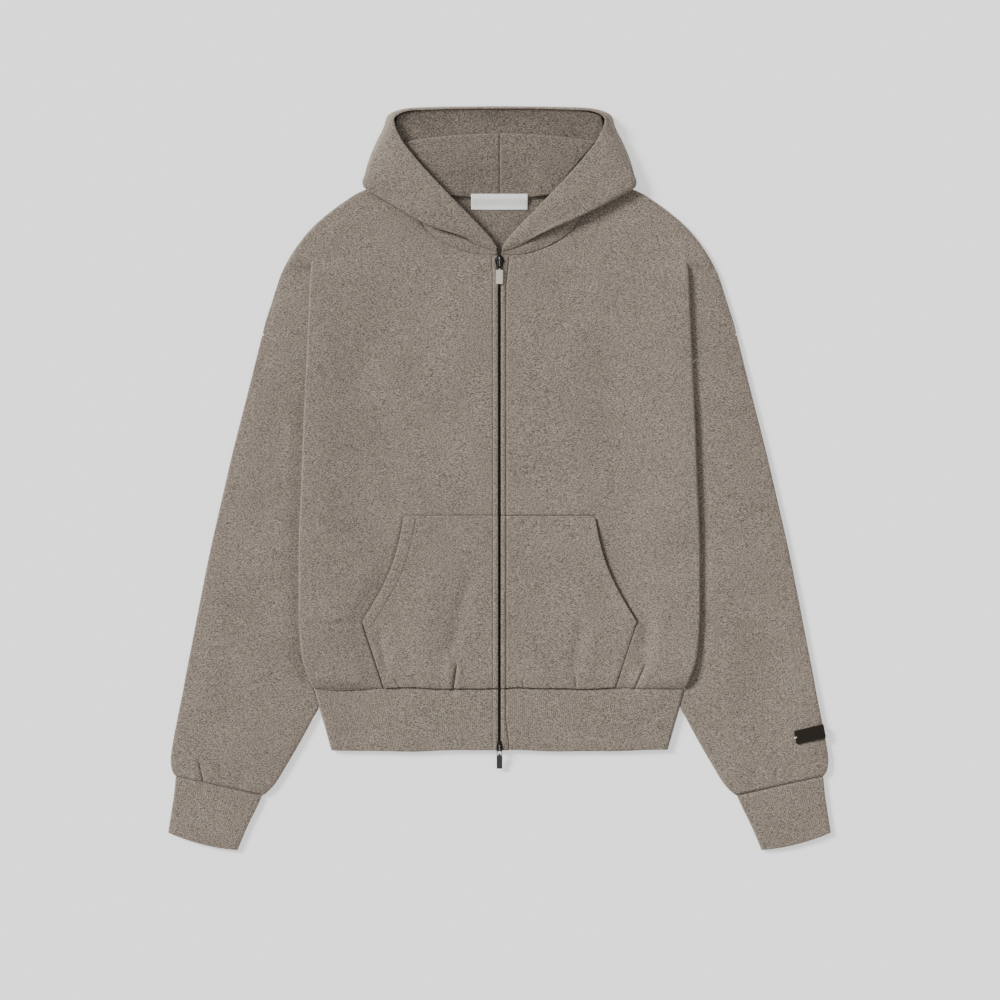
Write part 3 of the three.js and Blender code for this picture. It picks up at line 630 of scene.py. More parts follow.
TINT = (0.234, 0.194, 0.157)
FLEECE = fleece_material("fleece", TINT)
# The inside fleece has the brushed inner face's own rougher grain, and its whole tone is darkened as
# painted shade for cloth lying inside the hood and under the neck.
PAINTED_SHADE_INSIDE = fleece_material("fleece_inside_painted_shade", TINT, light=0.78, grain=1.05)
# The crown fleece has its own rougher, more mottled tone, and its whole tone is darkened as painted shade
# for the crown's underside lying in shadow below the hood's forehead edge.
PAINTED_SHADE_CROWN = fleece_material("fleece_crown_painted_shade", TINT, light=0.8, grain=1.15, mottled=2.2)
RIBBING = fleece_material("ribbing", TINT, rib=True)
THREAD = plain_material("thread", (0.15, 0.118, 0.094), 0.8)
TAPE = plain_material("tape", (0.022, 0.02, 0.018), 0.85, gloss=0.15)
DARK_METAL = plain_material("dark_metal", (0.034, 0.032, 0.03), 0.24, metal=0.9, spread=0.2, bump_mm=0.01)
DARK_TAB = plain_material("dark_tab", (0.05, 0.047, 0.043), 0.42, metal=0.3, spread=0.15)
PALE_METAL = plain_material("pale_metal", (0.76, 0.675, 0.57), 0.42, metal=0.45)
# The bridge metal is the slider's dark metal made about ten times paler, as a painted highlight along the
# arch.
PAINTED_HIGHLIGHT_METAL = plain_material("painted_highlight_metal", (0.34, 0.33, 0.31), 0.2, metal=1.0, spread=0.1, bump_mm=0.01)
WHITE_WEAVE = plain_material("white_weave", (0.94, 0.94, 0.915), 0.85, scale=1600)
DARK_RUBBER = plain_material("dark_rubber", (0.019, 0.016, 0.012), 0.75, spread=0.3, gloss=0.12)
WHITE_THREAD = plain_material("white_thread", (0.8, 0.78, 0.74), 0.8)


PANEL_STEPS = stretches(13, (100, 2.8), (176, 0.85))


def side_fold(x, y, z, parts):
    """Cloth walked round a fold. Each part has a length, a turn and a count of steps."""
    walked, heading = [], 0.0
    for length, turned, count in parts:
        for _ in range(count):
            heading += turned / count / 2
            x += math.cos(heading) * length / count
            z = max(LOWEST_Z, z + math.sin(heading) * length / count)
            heading += turned / count / 2
            walked.append((x, y, z))
    return np.array(walked), heading


def fold_tail(x, y, z, heading, outline):
    """Cloth from the fold to the panel's edge, which drops to the back at the shoulder."""
    left = outline - x
    if y < ARMPIT_Y or left < 1.5:
        t = np.linspace(0, 1, 13)[1:]
        return stacked(x + math.cos(heading) * 1.5 * t, y, z)
    t = np.array([0.15, 0.3, 0.45, 0.6, 0.72, 0.82, 0.9, 0.94, 0.97, 0.985, 0.995, 1])
    drop = (z - LOWEST_Z) * smooth((y - 160) / 14)
    fall = drop * np.where(t > 0.9, 1 - (1 - t) * 4, t * 0.35)
    return stacked(x + left * t, y, z - fall)


def front_points(side):
    """The front as rows across it, from the zip over the chest and round the side fold."""
    ys = stretches(HEM_Y, (-246, 0.5), (-210, 1.8), (-52, 2.6), (-40, 0.6), (240, 3.6), (262, 1.8))
    near_neck = [262.6, 263.1, 263.45, 263.65, 263.72, 263.8, 263.95, 264.2, 264.7, 265.6, 267, 269]
    ys = np.concatenate([ys[:-1], near_neck, np.arange(271, 349, 2.1), [349.6]])
    near = np.array([0, 0.15, 0.4, 0.8, 1.4, 2.2, 3.1, 4, 4.8, 5.3, 5.8, 6.3, 6.8, 7.4, 8.2, 9, 9.8, 10.6])
    places = np.concatenate([ZIP_EDGE_X + near, PANEL_STEPS])
    places = np.append(places, np.linspace(PANEL_STEPS[-1], 216, 16)[1:])
    share = (places - ZIP_EDGE_X) / (places[-1] - ZIP_EDGE_X)
    rows = []
    for y in ys:
        x0 = neck_front_x(y) if y > NECK_Y else ZIP_EDGE_X
        fold, tuck = float(body_fold(y)), float(body_tuck(y))
        outline = float(shoulder_x(y)) if y >= 170 else float(armhole_x(y))
        over = float(smooth((PLEAT_TOP_Y - y) / 26)) * math.pi
        back = min(over, float(smooth((y - ARMPIT_Y + 25) / 30)) * math.pi)
        start = max(fold - FOLD_R, x0 + 1)
        plain = np.minimum(places, places[-1]) + (start - places[-1]) * smooth((places - 176) / 40)
        squeezed = x0 + (start - x0) * share
        mix = smooth((y - 190) / 60)
        xs = plain * (1 - mix) + squeezed * mix
        sewn = y + hem_wave(xs * side) * smooth((HEM_Y + 30 - y) / 30)
        section = stacked(xs, sewn, front_z(xs * side, sewn))
        turn = max(1.2, over * FOLD_R)
        run_in = max(1, fold - tuck - 2 * FOLD_R - (1 - back / math.pi) * (turn + 1.5))
        parts = ((turn, -over, 12), (run_in if over > 1.5 else 1, 0, 4), (turn, back, 12))
        folded, heading = side_fold(float(xs[-1]), y, float(section[-1, 2]), parts)
        tail = fold_tail(folded[-1, 0], y, folded[-1, 2], heading, outline)
        rows.append(np.concatenate([section, folded, tail]))
    return np.array(rows)


for side, name in SIDES:
    points = front_points(side)
    edge = np.where(points[:, 0, 1] > NECK_Y, 0.8, 1.5)
    rims = {"left": edge, "right": 1.5, "bottom": 1.2}
    cloth_piece(f"front_{name}", "cloth", points, CLOTH / 2, rims, FLEECE, side)


def back_points():
    ys = np.concatenate([
        HEM_Y + steps(248 + 329, 5.5, far=False),
        [329.6, 330, 330.1, 330.3, 330.7, 331.5, 333, 335, 338, 341, 344, 347, 349.3],
    ])
    rows = []
    for y in ys:
        x0 = float(neck_back_x(y)) if y > 330 else 0.0
        if y < ARMPIT_Y - 2:
            x1 = float(body_tuck(y))
        elif y < 170:
            x1 = float(armhole_x(y))
        else:
            x1 = float(shoulder_x(y))
        t = steps(1, 1 / 60, near=(0, 0.002, 0.005, 0.01))
        xs = x0 + (x1 - x0) * t
        rows.append(stacked(xs, y, CLOTH / 2))
    return np.array(rows)


def joined(parts):
    vertices, faces, uvs, start = [], [], [], 0
    for v, f, uv in parts:
        vertices.append(v)
        faces.append(f + start)
        uvs.append(uv)
        start += len(v)
    return np.concatenate(vertices), np.concatenate(faces), np.concatenate(uvs)


points = back_points()
halves = []
for side in (1, -1):
    v, f, uv = wall_parts(mirrored(points, side), CLOTH / 2, rims_of("right bottom", 1.2))
    halves.append((v, f if side > 0 else f[:, ::-1], uv))
piece = mesh_object("back_cloth", *joined(halves))
# The back's inner face, seen through the neck, takes the inside fleece with its painted shade.
lay(piece, "back", PAINTED_SHADE_INSIDE, points, twice=2)


def ring_section(row, thickness, bow, count):
    """A flattened tube's section: over the top from its outer edge to its inner, and back."""
    start = np.array([row["outX"], row["outY"]])
    end = np.array([row["inX"], row["inY"]])
    width = np.linalg.norm(end - start)
    half = (row["high"] - thickness) / 2
    top = round(count * 0.76)
    over = np.linspace(0, math.pi, top + 1)
    under = np.linspace(math.pi, 2 * math.pi, count - top + 1)[1:-1]
    angle = np.concatenate([over, under]) + 0.01
    c, s = np.cos(angle), np.sin(angle)
    share = 0.5 - 0.5 * np.sign(c) * np.abs(c) ** 0.8
    u = thickness / 2 / width + share * (1 - thickness / width)
    lift = np.sign(s) * np.minimum(1, np.abs(s) ** 0.5 / (1 - min(1, half * 3.2 / width) * 0.2))
    flat = start + (end - start) * u[:, None] + bow(u)
    return np.column_stack([flat, thickness / 2 + half + half * lift])


def table_row(table, t):
    return dict(zip(table, through(stacked(*table.values()), [t])[0]))


RING_POINTS = 200
SEAM_LINE = evenly(through(stacked(*ARMHOLE.values()), np.linspace(0, 8, 200)), 101)
SEAM_LINE[:, 0] += 0.1
SEAM_LINE[:, 1] -= 0.3


def sleeve_points(side):
    shares = np.interp(np.arange(141) / 10, [0, 1, 2, 3, 4, 5], [1, 0.8, 0.5, 0.25, 0.1, 0])
    inner = np.linspace(0.08, 13.9, 150)
    places = np.concatenate([[0, 0.004, 0.012, 0.025, 0.045], inner, [13.94, 13.97, 13.99, 14]])
    rows = []
    for t in places:
        share = np.interp(t, np.arange(141) / 10, shares)

        def bow(u, share=share):
            at = np.clip(u, 0, 1)[:, None] * 100
            on = np.stack([np.interp(at[:, 0], np.arange(101), SEAM_LINE[:, k]) for k in (0, 1)], -1)
            chord = SEAM_LINE[0] + (SEAM_LINE[-1] - SEAM_LINE[0]) * at / 100
            return (on - chord) * share

        rows.append(ring_section(table_row(SLEEVE, t), CLOTH, bow, RING_POINTS))
    points = np.array(rows)
    on_top = smooth((points[:, :, 2] - 2.6) / 1.6)
    x, y = points[:, :, 0] * side, points[:, :, 1]
    calm = 1 - (side > 0) * np.exp(-(((x - 366) / 26) ** 4) - ((y + 302) / 20) ** 4)
    lift = relief(x * 0.9 + 40, y) * 0.8 - line_dents(x, y, SLEEVE_CREASES)
    to_cuff = run_along(points, 0)
    to_cuff = to_cuff[-1:] - to_cuff
    lift += 0.3 * bump(to_cuff - 10, 7) - 1.1 * bump(to_cuff, 1.5)
    beside_body = np.abs(x) - body_fold(y)
    lift -= 1.9 * bump(beside_body, 11) * smooth((110 - y) / 40) * smooth((y + 250) / 12)
    points[:, :, 2] = np.maximum(points[:, :, 2] + on_top * calm * lift, np.where(on_top > 0.5, 3.3, 0))
    return points


SLEEVE_CREASES = rows_of(
    "x0 y0 x1 y1 width depth",
    (-355.4, -333, -350.3, -355, 1, 2.2),
    (-362, -326, -358, -352, 6, -0.8),
    (328, -344, 327, -356, 1.4, 1.8),
    (338, -343, 336, -352, 1.2, 0.8),
    (-330, -338, -326, -358, 6, 0.9),
    (352, -330, 346, -352, 7, 0.8),
    (-300, -340, -306, -362, 6, 0.7),
    (300, -340, 304, -362, 7, 0.7),
    (-262, 60, -280, -60, 18, 1),
    (256, 40, 276, -70, 22, 0.9),
    (-300, -150, -320, -280, 18, 1),
    (300, -170, 330, -290, 22, 0.9),
    (-340, -180, -352, -290, 14, -0.7),
)


def cuff_points():
    inner = np.linspace(0.1, 2.9, 44)
    places = np.concatenate([[0, 0.006, 0.02, 0.04, 0.07], inner, [2.93, 2.96, 2.98, 2.994, 3]])
    rows = []
    for t in places:
        deep = t / 3 * CUFF_BOW

        def bow(u, deep=deep):
            return stacked(np.zeros_like(u), -deep * 4 * u * (1 - u))

        rows.append(ring_section(table_row(CUFF, t), RIB, bow, RING_POINTS))
    points = np.array(rows)
    on_top = smooth((points[:, :, 2] - 2.6) / 1.6)
    from_seam = run_along(points, 0)
    points[:, :, 2] -= on_top * 0.9 * bump(from_seam, 2.2)
    return points


for side, name in SIDES:
    rims, under = rims_of("bottom top", 1.3), ["surface", f"front_{name}_cloth"]
    points = sleeve_points(side)
    cloth_piece(f"sleeve_{name}", "cloth", points, CLOTH / 2, rims, FLEECE, side, ring=True)
    rims, under = rims_of("bottom top", 1.4), ["surface"]
    cloth_piece(f"cuff_{name}", "rib", cuff_points(), RIB / 2, rims, RIBBING, side, ring=True)


BAND_TOP_Z = 5.7


def band_z(x, y):
    """Height of the middle of the waistband's upper layer."""
    x, y = np.broadcast_arrays(np.asarray(x, float), np.asarray(y, float))
    a = np.abs(x)
    z = BAND_TOP_Z + relief(x, y) * 0.7 - 0.9 * bump(y - HEM_Y, 2.4)
    z = z - placket_groove(x, y) + 0.4 * bump(a - 5, 2.2)
    return z + 0.35 * bump(y - HEM_Y + WAISTBAND - 9, 7)


def band_points():
    low = RIB / 2
    r = (BAND_TOP_Z - low) / 2
    ys = np.sort(HEM_Y - SEAM - steps(WAISTBAND - SEAM, 2))
    near = [0, 0.15, 0.4, 0.8, 1.4, 2.2, 3.2, 4.2]
    near += [5, 5.5, 6, 6.5, 7, 7.6, 8.4, 9.2, 10.2, 11.2, 12.2]
    rows = []
    for y in ys:
        side = float(band_side(y))
        xs = ZIP_EDGE_X + np.append(near, np.linspace(14, side - r - ZIP_EDGE_X, 100))
        a = np.linspace(0, math.pi, 13)[1:]
        under = np.linspace(side - r, 0, 50)[1:]
        halves = []
        for sign in (1, -1):
            top = band_z(xs * sign, np.full_like(xs, y))
            top = BAND_TOP_Z + (top - BAND_TOP_Z) * smooth((side - r - xs) / 20)
            half = np.concatenate([
                stacked(xs, top),
                stacked(side - r + np.sin(a) * r, low + r + np.cos(a) * r),
                stacked(under, low),
            ])
            halves.append(half * [sign, 1])
        whole = np.concatenate([halves[0], halves[1][-2::-1]])
        x = whole[:, 0]
        down = (HEM_Y - y) / WAISTBAND
        on_top = smooth((whole[:, 1] - 2) / 3)
        sewn = y + hem_wave(x) * on_top * smooth(1 - down * 2.4) + edge_wave(x) * smooth(down * 2 - 1)
        rows.append(np.column_stack([x, sewn, whole[:, 1]]))
    return np.array(rows)


def edge_wave(x):
    """How the waistband's lower edge bows between its two ends."""
    calm = smooth((np.abs(x) - 5) / 16)
    return calm * (0.9 * np.sin(x / 34 + 1.9) - 0.5 + 0.35 * np.sin(x / 13))


rims = rims_of(ALL_EDGES, 1.4)
cloth_piece("waistband", "rib", band_points(), RIB / 2, rims, RIBBING)


MOUTH_HEM = 14.5
POCKET_LIFT = CLOTH / 2 + POCKET_GAP + POCKET_CLOTH / 2


def pocket_z(x, y):
    """Height of the middle of the pocket's cloth over the front."""
    x, y = np.broadcast_arrays(np.asarray(x, float), np.asarray(y, float))
    a = np.abs(x)
    z = chest_z(a, y) + POCKET_LIFT + relief(x, y)
    mouth = smooth((y - POCKET_CORNER[1] + 6) / 12) * smooth((POCKET_TOP - 4 - y) / 20)
    foot = smooth((POCKET_CORNER[1] + 2 - y) / 10)
    inside = (pocket_side(y) - a) * 0.94
    z = z + mouth * np.where(x > 0, 1.9, 0.6) * bump(inside, 13)
    z = z - 0.6 * foot * bump(inside, 2.5) - 0.5 * bump(POCKET_TOP - y, 2.5)
    from_mouth = mouth_x(y) - a - MOUTH_HEM
    sewn = smooth((POCKET_TOP - 2 - y) / 3)
    z = z - sewn * np.where(x > 0, 0.15, 0.7) * bump(from_mouth, 0.9)
    z = z + (x < 0) * sewn * 0.35 * smooth(1 - from_mouth / 1.5) * smooth((from_mouth + MOUTH_HEM) / 3)
    z = z - placket_groove(x, y) + 0.5 * bump(a - 5, 2.2)
    z = z + 0.7 * bump(y - HEM_Y - 14, 9) - 0.8 * bump(y - HEM_Y, 2.6)
    return z


def pocket_points(side):
    down = steps(POCKET_TOP - HEM_Y - 0.6, 2, near=(0, 0.15, 0.4, 0.8, 1.3, 2, 3, 4, 5, 5.7, 6.3, 7, 8))
    near = np.array([0, 0.15, 0.4, 0.8, 1.4, 2.2, 3.2, 4.2, 4.9, 5.4, 5.9, 6.4, 7, 7.8, 8.6, 9.6, 11])
    hem = [12, 11, 10.4, 10, 9.6, 9.2, 8.8, 8.4, 7.8, 6.4, 5, 3.6, 2.2, 1.4, 0.8, 0.4, 0.15, 0]
    rows = []
    for y in np.sort(POCKET_TOP - down):
        width = float(pocket_side(y)) - ZIP_EDGE_X
        inner = np.linspace(12, width - 13, 110)
        xs = ZIP_EDGE_X + np.concatenate([near, inner, width - np.array(hem)])
        corner = 3 * smooth(1 - (POCKET_TOP - y) / 4) ** 2
        xs = xs - corner * smooth((xs - ZIP_EDGE_X - width + 14) / 14)
        sewn = y + hem_wave(xs * side) * smooth((HEM_Y + 30 - y) / 30)
        rows.append(stacked(xs, sewn, pocket_z(xs * side, sewn)))
    return np.array(rows)


for side, name in SIDES:
    rims, under = rims_of(ALL_EDGES, 0.9), [f"front_{name}_cloth"]
    points = pocket_points(side)
    cloth_piece(f"pocket_{name}", "cloth", points, POCKET_CLOTH / 2, rims, FLEECE, side)


def hood_section(values, station, side):
    """Seven points of a section: face edge, band, crown, fold, underside, inner side and seam."""
    edge, fold, seam = values[0:3], values[3:6].copy(), values[8:11]
    low, turn = values[6], values[7]
    on_left = side > 0
    stand = smooth((station - 0.8) / 1.4) * smooth((6.6 - station) / 1.2)
    if not on_left:
        fold[1] -= 5 * smooth((station - 2) / 2) * smooth((6.4 - station) / 2.2)
    closed = smooth(((2.2 if on_left else 2.35) - station) / 1)
    fold[2] += closed * (seam[2] + (edge[2] - seam[2]) * 0.56 - fold[2])
    low += closed * (seam[2] + (edge[2] - seam[2]) * 0.44 - low)
    turn *= 1 - 0.9 * closed
    out = (fold - edge) * [1, 1, 0]
    reach = np.linalg.norm(out)
    out = out / reach
    inwards = min(turn, reach * 0.45)
    crown = fold - out * inwards * 0.55
    crown[2] = fold[2] + (edge[2] - fold[2]) * 0.62
    under = fold - out * inwards * 0.7
    under[2] = low - (1.8 if on_left else 3.2) * stand
    band = (edge + crown) / 2 + [0, 0, 1]
    inner = under + (seam - under) * 0.45
    inner[2] = low + (seam[2] - low) * 0.3 + (1.3 if on_left else 2.2) * stand
    return np.array([edge, band, crown, fold, under, inner, seam])


def hood_points(side):
    """The hood's outer cloth: a section at each station from the zip round to the forehead."""
    stations = np.concatenate([[0, 0.05, 0.12], np.linspace(0.2, 16, 190)])
    places = np.concatenate([
        [0, 0.01, 0.03, 0.06, 0.1, 0.16],
        np.linspace(0.22, 1.8, 20),
        np.linspace(1.86, 4.6, 44),
        np.linspace(4.65, 5.9, 18),
        [5.93, 5.96, 5.98, 6],
    ])
    rows = []
    for station, values in zip(stations, through(stacked(*HOOD.values()), stations)):
        rows.append(through(hood_section(values, station, side), places))
    points = np.array(rows)
    points[:, :, 2] = np.maximum(points[:, :, 2], CLOTH / 2 + 0.05)
    points[:, :, 0] = np.maximum(points[:, :, 0], SEAM / 2)
    x, y = points[:, :, 0] * side, points[:, :, 1]
    on_band = smooth((places - 0.3) / 0.7) * smooth((2.6 - places) / 0.6)
    points[:, :, 2] += on_band * (relief(x * 1.2 + 13, y * 1.1) - line_dents(x, y, HOOD_FOLDS)) * 0.9
    return points


HOOD_FOLDS = rows_of(
    "x0 y0 x1 y1 width depth",
    (-128, 340, -96, 326, 10, 0.9),
    (-112, 400, -132, 372, 12, -0.7),
    (126, 340, 92, 322, 10, 0.8),
    (-66, 316, -44, 300, 7, 0.6),
    (60, 308, 40, 296, 7, 0.6),
    (122, 396, 134, 366, 12, -0.6),
)


for side, name in SIDES:
    rims = {"left": 2.4, "right": 0.8, "bottom": 1.3}
    under = ["surface", f"front_{name}_cloth"]
    cloth_piece(f"hood_{name}", "cloth", hood_points(side), CLOTH / 2, rims, FLEECE, side)

LINING_BOTTOM = 330.7
LINING_TOP = 404.0
LINING_LOW_Z = 4.2
LINING_HIGH_Z = 10.5
ROLL_R = 2.2


def lining_points():
    rows = []
    u = np.concatenate([[0, 0.003, 0.008, 0.015, 0.025], np.linspace(0.04, 1, 44)])
    up = np.concatenate([[0, 0.01, 0.03], np.linspace(0.05, 1, 40)])
    for t in up:
        y = LINING_BOTTOM + u**2 * 4 + t * (LINING_TOP - LINING_BOTTOM - u**2 * 14)
        x = SEAM / 2 + u * (58 + (y - LINING_BOTTOM) * 0.86)
        low = LINING_LOW_Z + 2 * smooth((x - 34) / 14)
        z = low + (LINING_HIGH_Z - low) * smooth(t * 1.1)
        z = z - 0.5 * np.exp(-(((x - 0.3) / 1.2) ** 2))
        rows.append(stacked(x, y, z))
    top = rows[-1]
    for turn in np.linspace(0, 1.6, 9)[1:]:
        rows.append(top + np.array([0, math.sin(turn), math.cos(turn) - 1]) * ROLL_R)
    return np.array(rows)


# The hood's lining takes the inside fleece with its painted shade.
for side, name in SIDES:
    rims, under = rims_of(ALL_EDGES), ["back_cloth", f"hood_{name}_cloth"]
    points = lining_points()
    cloth_piece(f"hood_lining_{name}", "cloth", points, CLOTH / 2, rims, PAINTED_SHADE_INSIDE, side)

CROWN_LOW = (396.0, 4.4)
CROWN_HIGH = (435.4, 17.2)
CROWN_HALF = 112.0
CROWN_WIDEN = 12.0


def crown_points():
    u = np.linspace(-1, 1, 140)
    rows = []
    for t in np.linspace(0, 1, 40):
        start = CROWN_LOW[0] - 14 * u**2
        end = CROWN_HIGH[0] - 1.4 * u**2 - 6.5 * u**8
        half = CROWN_HALF + CROWN_WIDEN * math.sin(min(1, t * 1.5) * math.pi / 2) - 4 * t**6
        z = CROWN_LOW[1] + (CROWN_HIGH[1] - 3 * u**8 - CROWN_LOW[1]) * t**1.9
        rows.append(stacked(u * half, start + (end - start) * t, z))
    return np.array(rows)


# The crown takes the crown fleece with its painted shade.
rims, under = rims_of(ALL_EDGES), ["hood_left_cloth", "hood_right_cloth"]
cloth_piece("hood_crown", "cloth", crown_points(), CLOTH / 2, rims, PAINTED_SHADE_CROWN)


def tube_parts(path, radius, closed=False):
    """A six-sided cord along a path, square to it all the way, with its ends closed."""
    path = np.asarray(path, float)
    count = len(path)
    if closed:
        ahead = np.roll(path, -1, axis=0) - np.roll(path, 1, axis=0)
    else:
        ahead = np.gradient(path, axis=0)
    ahead = ahead / np.linalg.norm(ahead, axis=1, keepdims=True)
    upright = np.where(np.abs(ahead[:, 2:3]) > 0.9, [[0.0, 1.0, 0.0]], [[0.0, 0.0, 1.0]])
    across = np.cross(ahead, upright)
    across /= np.linalg.norm(across, axis=1, keepdims=True)
    over = np.cross(across, ahead)
    angle = np.arange(6) / 6 * 2 * math.pi
    radius = np.broadcast_to(np.asarray(radius, float), (count,))[:, None, None]
    ring = across[:, None] * np.cos(angle)[None, :, None] + over[:, None] * np.sin(angle)[None, :, None]
    vertices = (path[:, None] + ring * radius).reshape(-1, 3)
    j, i = np.meshgrid(np.arange(count if closed else count - 1), np.arange(6), indexing="ij")
    k, nxt = (i + 1) % 6, (j + 1) % count
    faces = stacked(j * 6 + i, nxt * 6 + i, nxt * 6 + k, j * 6 + k).reshape(-1, 4)
    if not closed:
        last = (count - 1) * 6
        ends = [[0, 1, 2, 3], [0, 3, 4, 5]]
        ends += [[last + corner for corner in end] for end in ((3, 2, 1, 0), (5, 4, 3, 0))]
        faces = np.concatenate([faces, ends])
    return vertices, faces, np.zeros((len(vertices), 2))


def inset(outline, by):
    """An outline moved inwards. It runs clockwise seen from above."""
    ahead = np.roll(outline, -1, axis=0) - np.roll(outline, 1, axis=0)
    inwards = stacked(ahead[:, 1], -ahead[:, 0])
    return outline + inwards / np.linalg.norm(inwards, axis=1, keepdims=True) * by


def plate_parts(outline, low, high, bevel):
    """A plate with bevelled edges. Its outline runs down one side and back up the other."""
    outline = np.asarray(outline, float)
    count = len(outline)
    shrunk = inset(outline, bevel)
    levels = ((shrunk, low), (outline, low + bevel), (outline, high - bevel), (shrunk, high))
    vertices = np.concatenate([stacked(*flat.T, z) for flat, z in levels])
    faces = [np.roll(grid_faces(4, count, ring=True)[:, ::-1], 1, axis=1)]
    first = np.arange(count // 2 - 1)
    strip = stacked(first, first + 1, count - 2 - first, count - 1 - first)
    faces += [strip, strip[:, ::-1] + 3 * count]
    return vertices, np.concatenate(faces), np.zeros((len(vertices), 2))


def down_and_up(sides):
    """An outline from half widths at places along y, down the right side and up the left."""
    sides = np.asarray(sides, float)
    return np.concatenate([sides, (sides * [-1, 1])[::-1]])


def rounded_sides(half, top, bottom, r):
    """Half widths of a plate with rounded lower corners, and slightly eased upper ones."""
    a = np.linspace(0, math.pi / 2, 6)
    upper = stacked(half - 0.4 + 0.4 * np.sin(a), top - 0.4 + 0.4 * np.cos(a))
    lower = stacked(half - r + r * np.cos(a), bottom + r - r * np.sin(a))
    return np.concatenate([upper, lower])


def detail(name, parts, material, slot, body="hoodie", node=None, smooth_faces=True):
    """One mesh of many small parts, which rides on a body and may stand for a CAD node."""
    vertices, faces, _ = joined(parts)
    piece = mesh_object(name, vertices, faces, smooth_faces=smooth_faces)
    piece.data.materials.append(material)
    if node:
        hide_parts(node)
    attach(piece, body)
    return piece


def strip_parts(path, across, half_width, half):
    """A narrow strip of cloth along a path, as the folded-in edges of a seam."""
    shares = np.linspace(-1, 1, 5)[None, :, None]
    points = np.asarray(path)[:, None] + np.asarray(across, float)[None, None] * shares * half_width
    return wall_parts(points, half, rims_of("left right", 0.4))


def stitches(path, pitch=3.1, length=2.3, radius=0.24):
    """Short threads along a path, dipping into the cloth at both ends."""
    path = np.asarray(path, float)
    run = np.concatenate([[0], np.cumsum(np.linalg.norm(np.diff(path, axis=0), axis=1))])
    parts = []
    for start in np.arange(0.4, run[-1] - length, pitch):
        at = start + np.array([0, 0.18, 0.5, 0.82, 1]) * length
        thread = np.stack([np.interp(at, run, path[:, k]) for k in range(3)], -1)
        thread[:, 2] += np.array([-0.3, 0.1, 0.2, 0.1, -0.3])
        parts.append(tube_parts(thread, radius * np.array([0.5, 0.9, 1, 0.9, 0.5])))
    return parts


STITCH_SINK = 0.1


def pocket_top_z(x, y):
    return pocket_z(x, y) + POCKET_CLOTH / 2


def top_z(x, y):
    """Height of the top of the cloth along the zip: waistband, pocket or front."""
    band = band_z(x, y) + RIB / 2
    front = front_z(x, y) + CLOTH / 2
    return np.where(y < HEM_Y, band, np.where(y < POCKET_TOP, pocket_top_z(x, y), front))


def sewn_line(x, y, top, radius=0.24):
    """Stitches along a line on cloth whose top is at the heights given."""
    return stitches(stacked(x, y, top - STITCH_SINK), radius=radius)


# The folded-in edges that close the seams from inside
strips = []
for side in (1, -1):
    neck = mirrored(hood_points(side)[:100, -1], side) + [0, -0.2, -0.5]
    strips.append(strip_parts(neck, (0, 1, 0), 1.2, 0.5))
    cuff_end = (sleeve_points(side)[-1] + cuff_points()[0]) / 2
    strips.append(tube_parts(mirrored(cuff_end, side) - [0, 0, 0.2], 0.8, closed=True))
    hem_x = np.linspace(ZIP_EDGE_X + 0.3, 214, 160)
    hem_y = HEM_Y - SEAM / 2 + hem_wave(hem_x * side)
    hem = stacked(hem_x * side, hem_y, front_z(hem_x * side, hem_y) - 0.2)
    strips.append(strip_parts(hem, (0, 1, 0), 1.3, 0.45))
band_x = np.linspace(-62, 62, 60)
nape_y = 330.4 + 11 * (np.abs(band_x) / 82) ** 2.2
strips.append(strip_parts(stacked(band_x, nape_y, 2.6), (0, 1, 0), 3, 0.3))
centre = lining_points()[:, 0] * [0, 1, 1] - [0, 0, 0.9]
strips.append(strip_parts(centre, (1, 0, 0), 2.5, 0.3))
crest = hood_points(1)[-1] * [0, 1, 1]
inner_side = np.array([0, crest[:, 1].mean() - 8, crest[:, 2].mean()])
toward = inner_side - crest
crest = crest + toward / np.linalg.norm(toward, axis=1, keepdims=True) * 0.5
strips.append(strip_parts(crest, (1, 0, 0), 2.5, 0.3))
# The seam edges wear the inside fleece, darkened as painted shade.
detail("seam_edges", strips, PAINTED_SHADE_INSIDE, "hood_inside")

# Topstitching beside the zip, along the pocket mouths and over the neck seam
threads = []
for side in (1, -1):
    y = np.linspace(261, HEM_Y - WAISTBAND + 2.5, 700)
    x = placket_x(np.full_like(y, side), y) * side
    threads += sewn_line(x, y, top_z(x, y))
    y = np.linspace(POCKET_TOP - 2.5, POCKET_CORNER[1] - 14.5, 220)
    x = (mouth_x(y) - MOUTH_HEM) * side
    threads += sewn_line(x, y, pocket_top_z(x, y))
    x = np.linspace(12, POCKET_TOP_X - 4, 200) * side
    y = np.full_like(x, POCKET_TOP - 1.7)
    threads += sewn_line(x, y, pocket_top_z(x, y), radius=0.17)
    y = np.linspace(POCKET_CORNER[1] - 2, HEM_Y + 2, 120)
    x = (pocket_side(y) - 2) * side
    threads += sewn_line(x, y, pocket_top_z(x, y), radius=0.17)
detail("topstitching", threads, THREAD, "fleece")
lining_grid = lining_points()
row = 3 + int(np.argmin(np.abs(lining_grid[3:30, 0, 1] - LINING_BOTTOM - 5.5)))
threads = []
for side in (1, -1):
    threads += stitches(mirrored(lining_grid[row], side) + [0, 0, CLOTH / 2 - 0.05], radius=0.2)
detail("neck_stitches", threads, THREAD, "hood_inside")

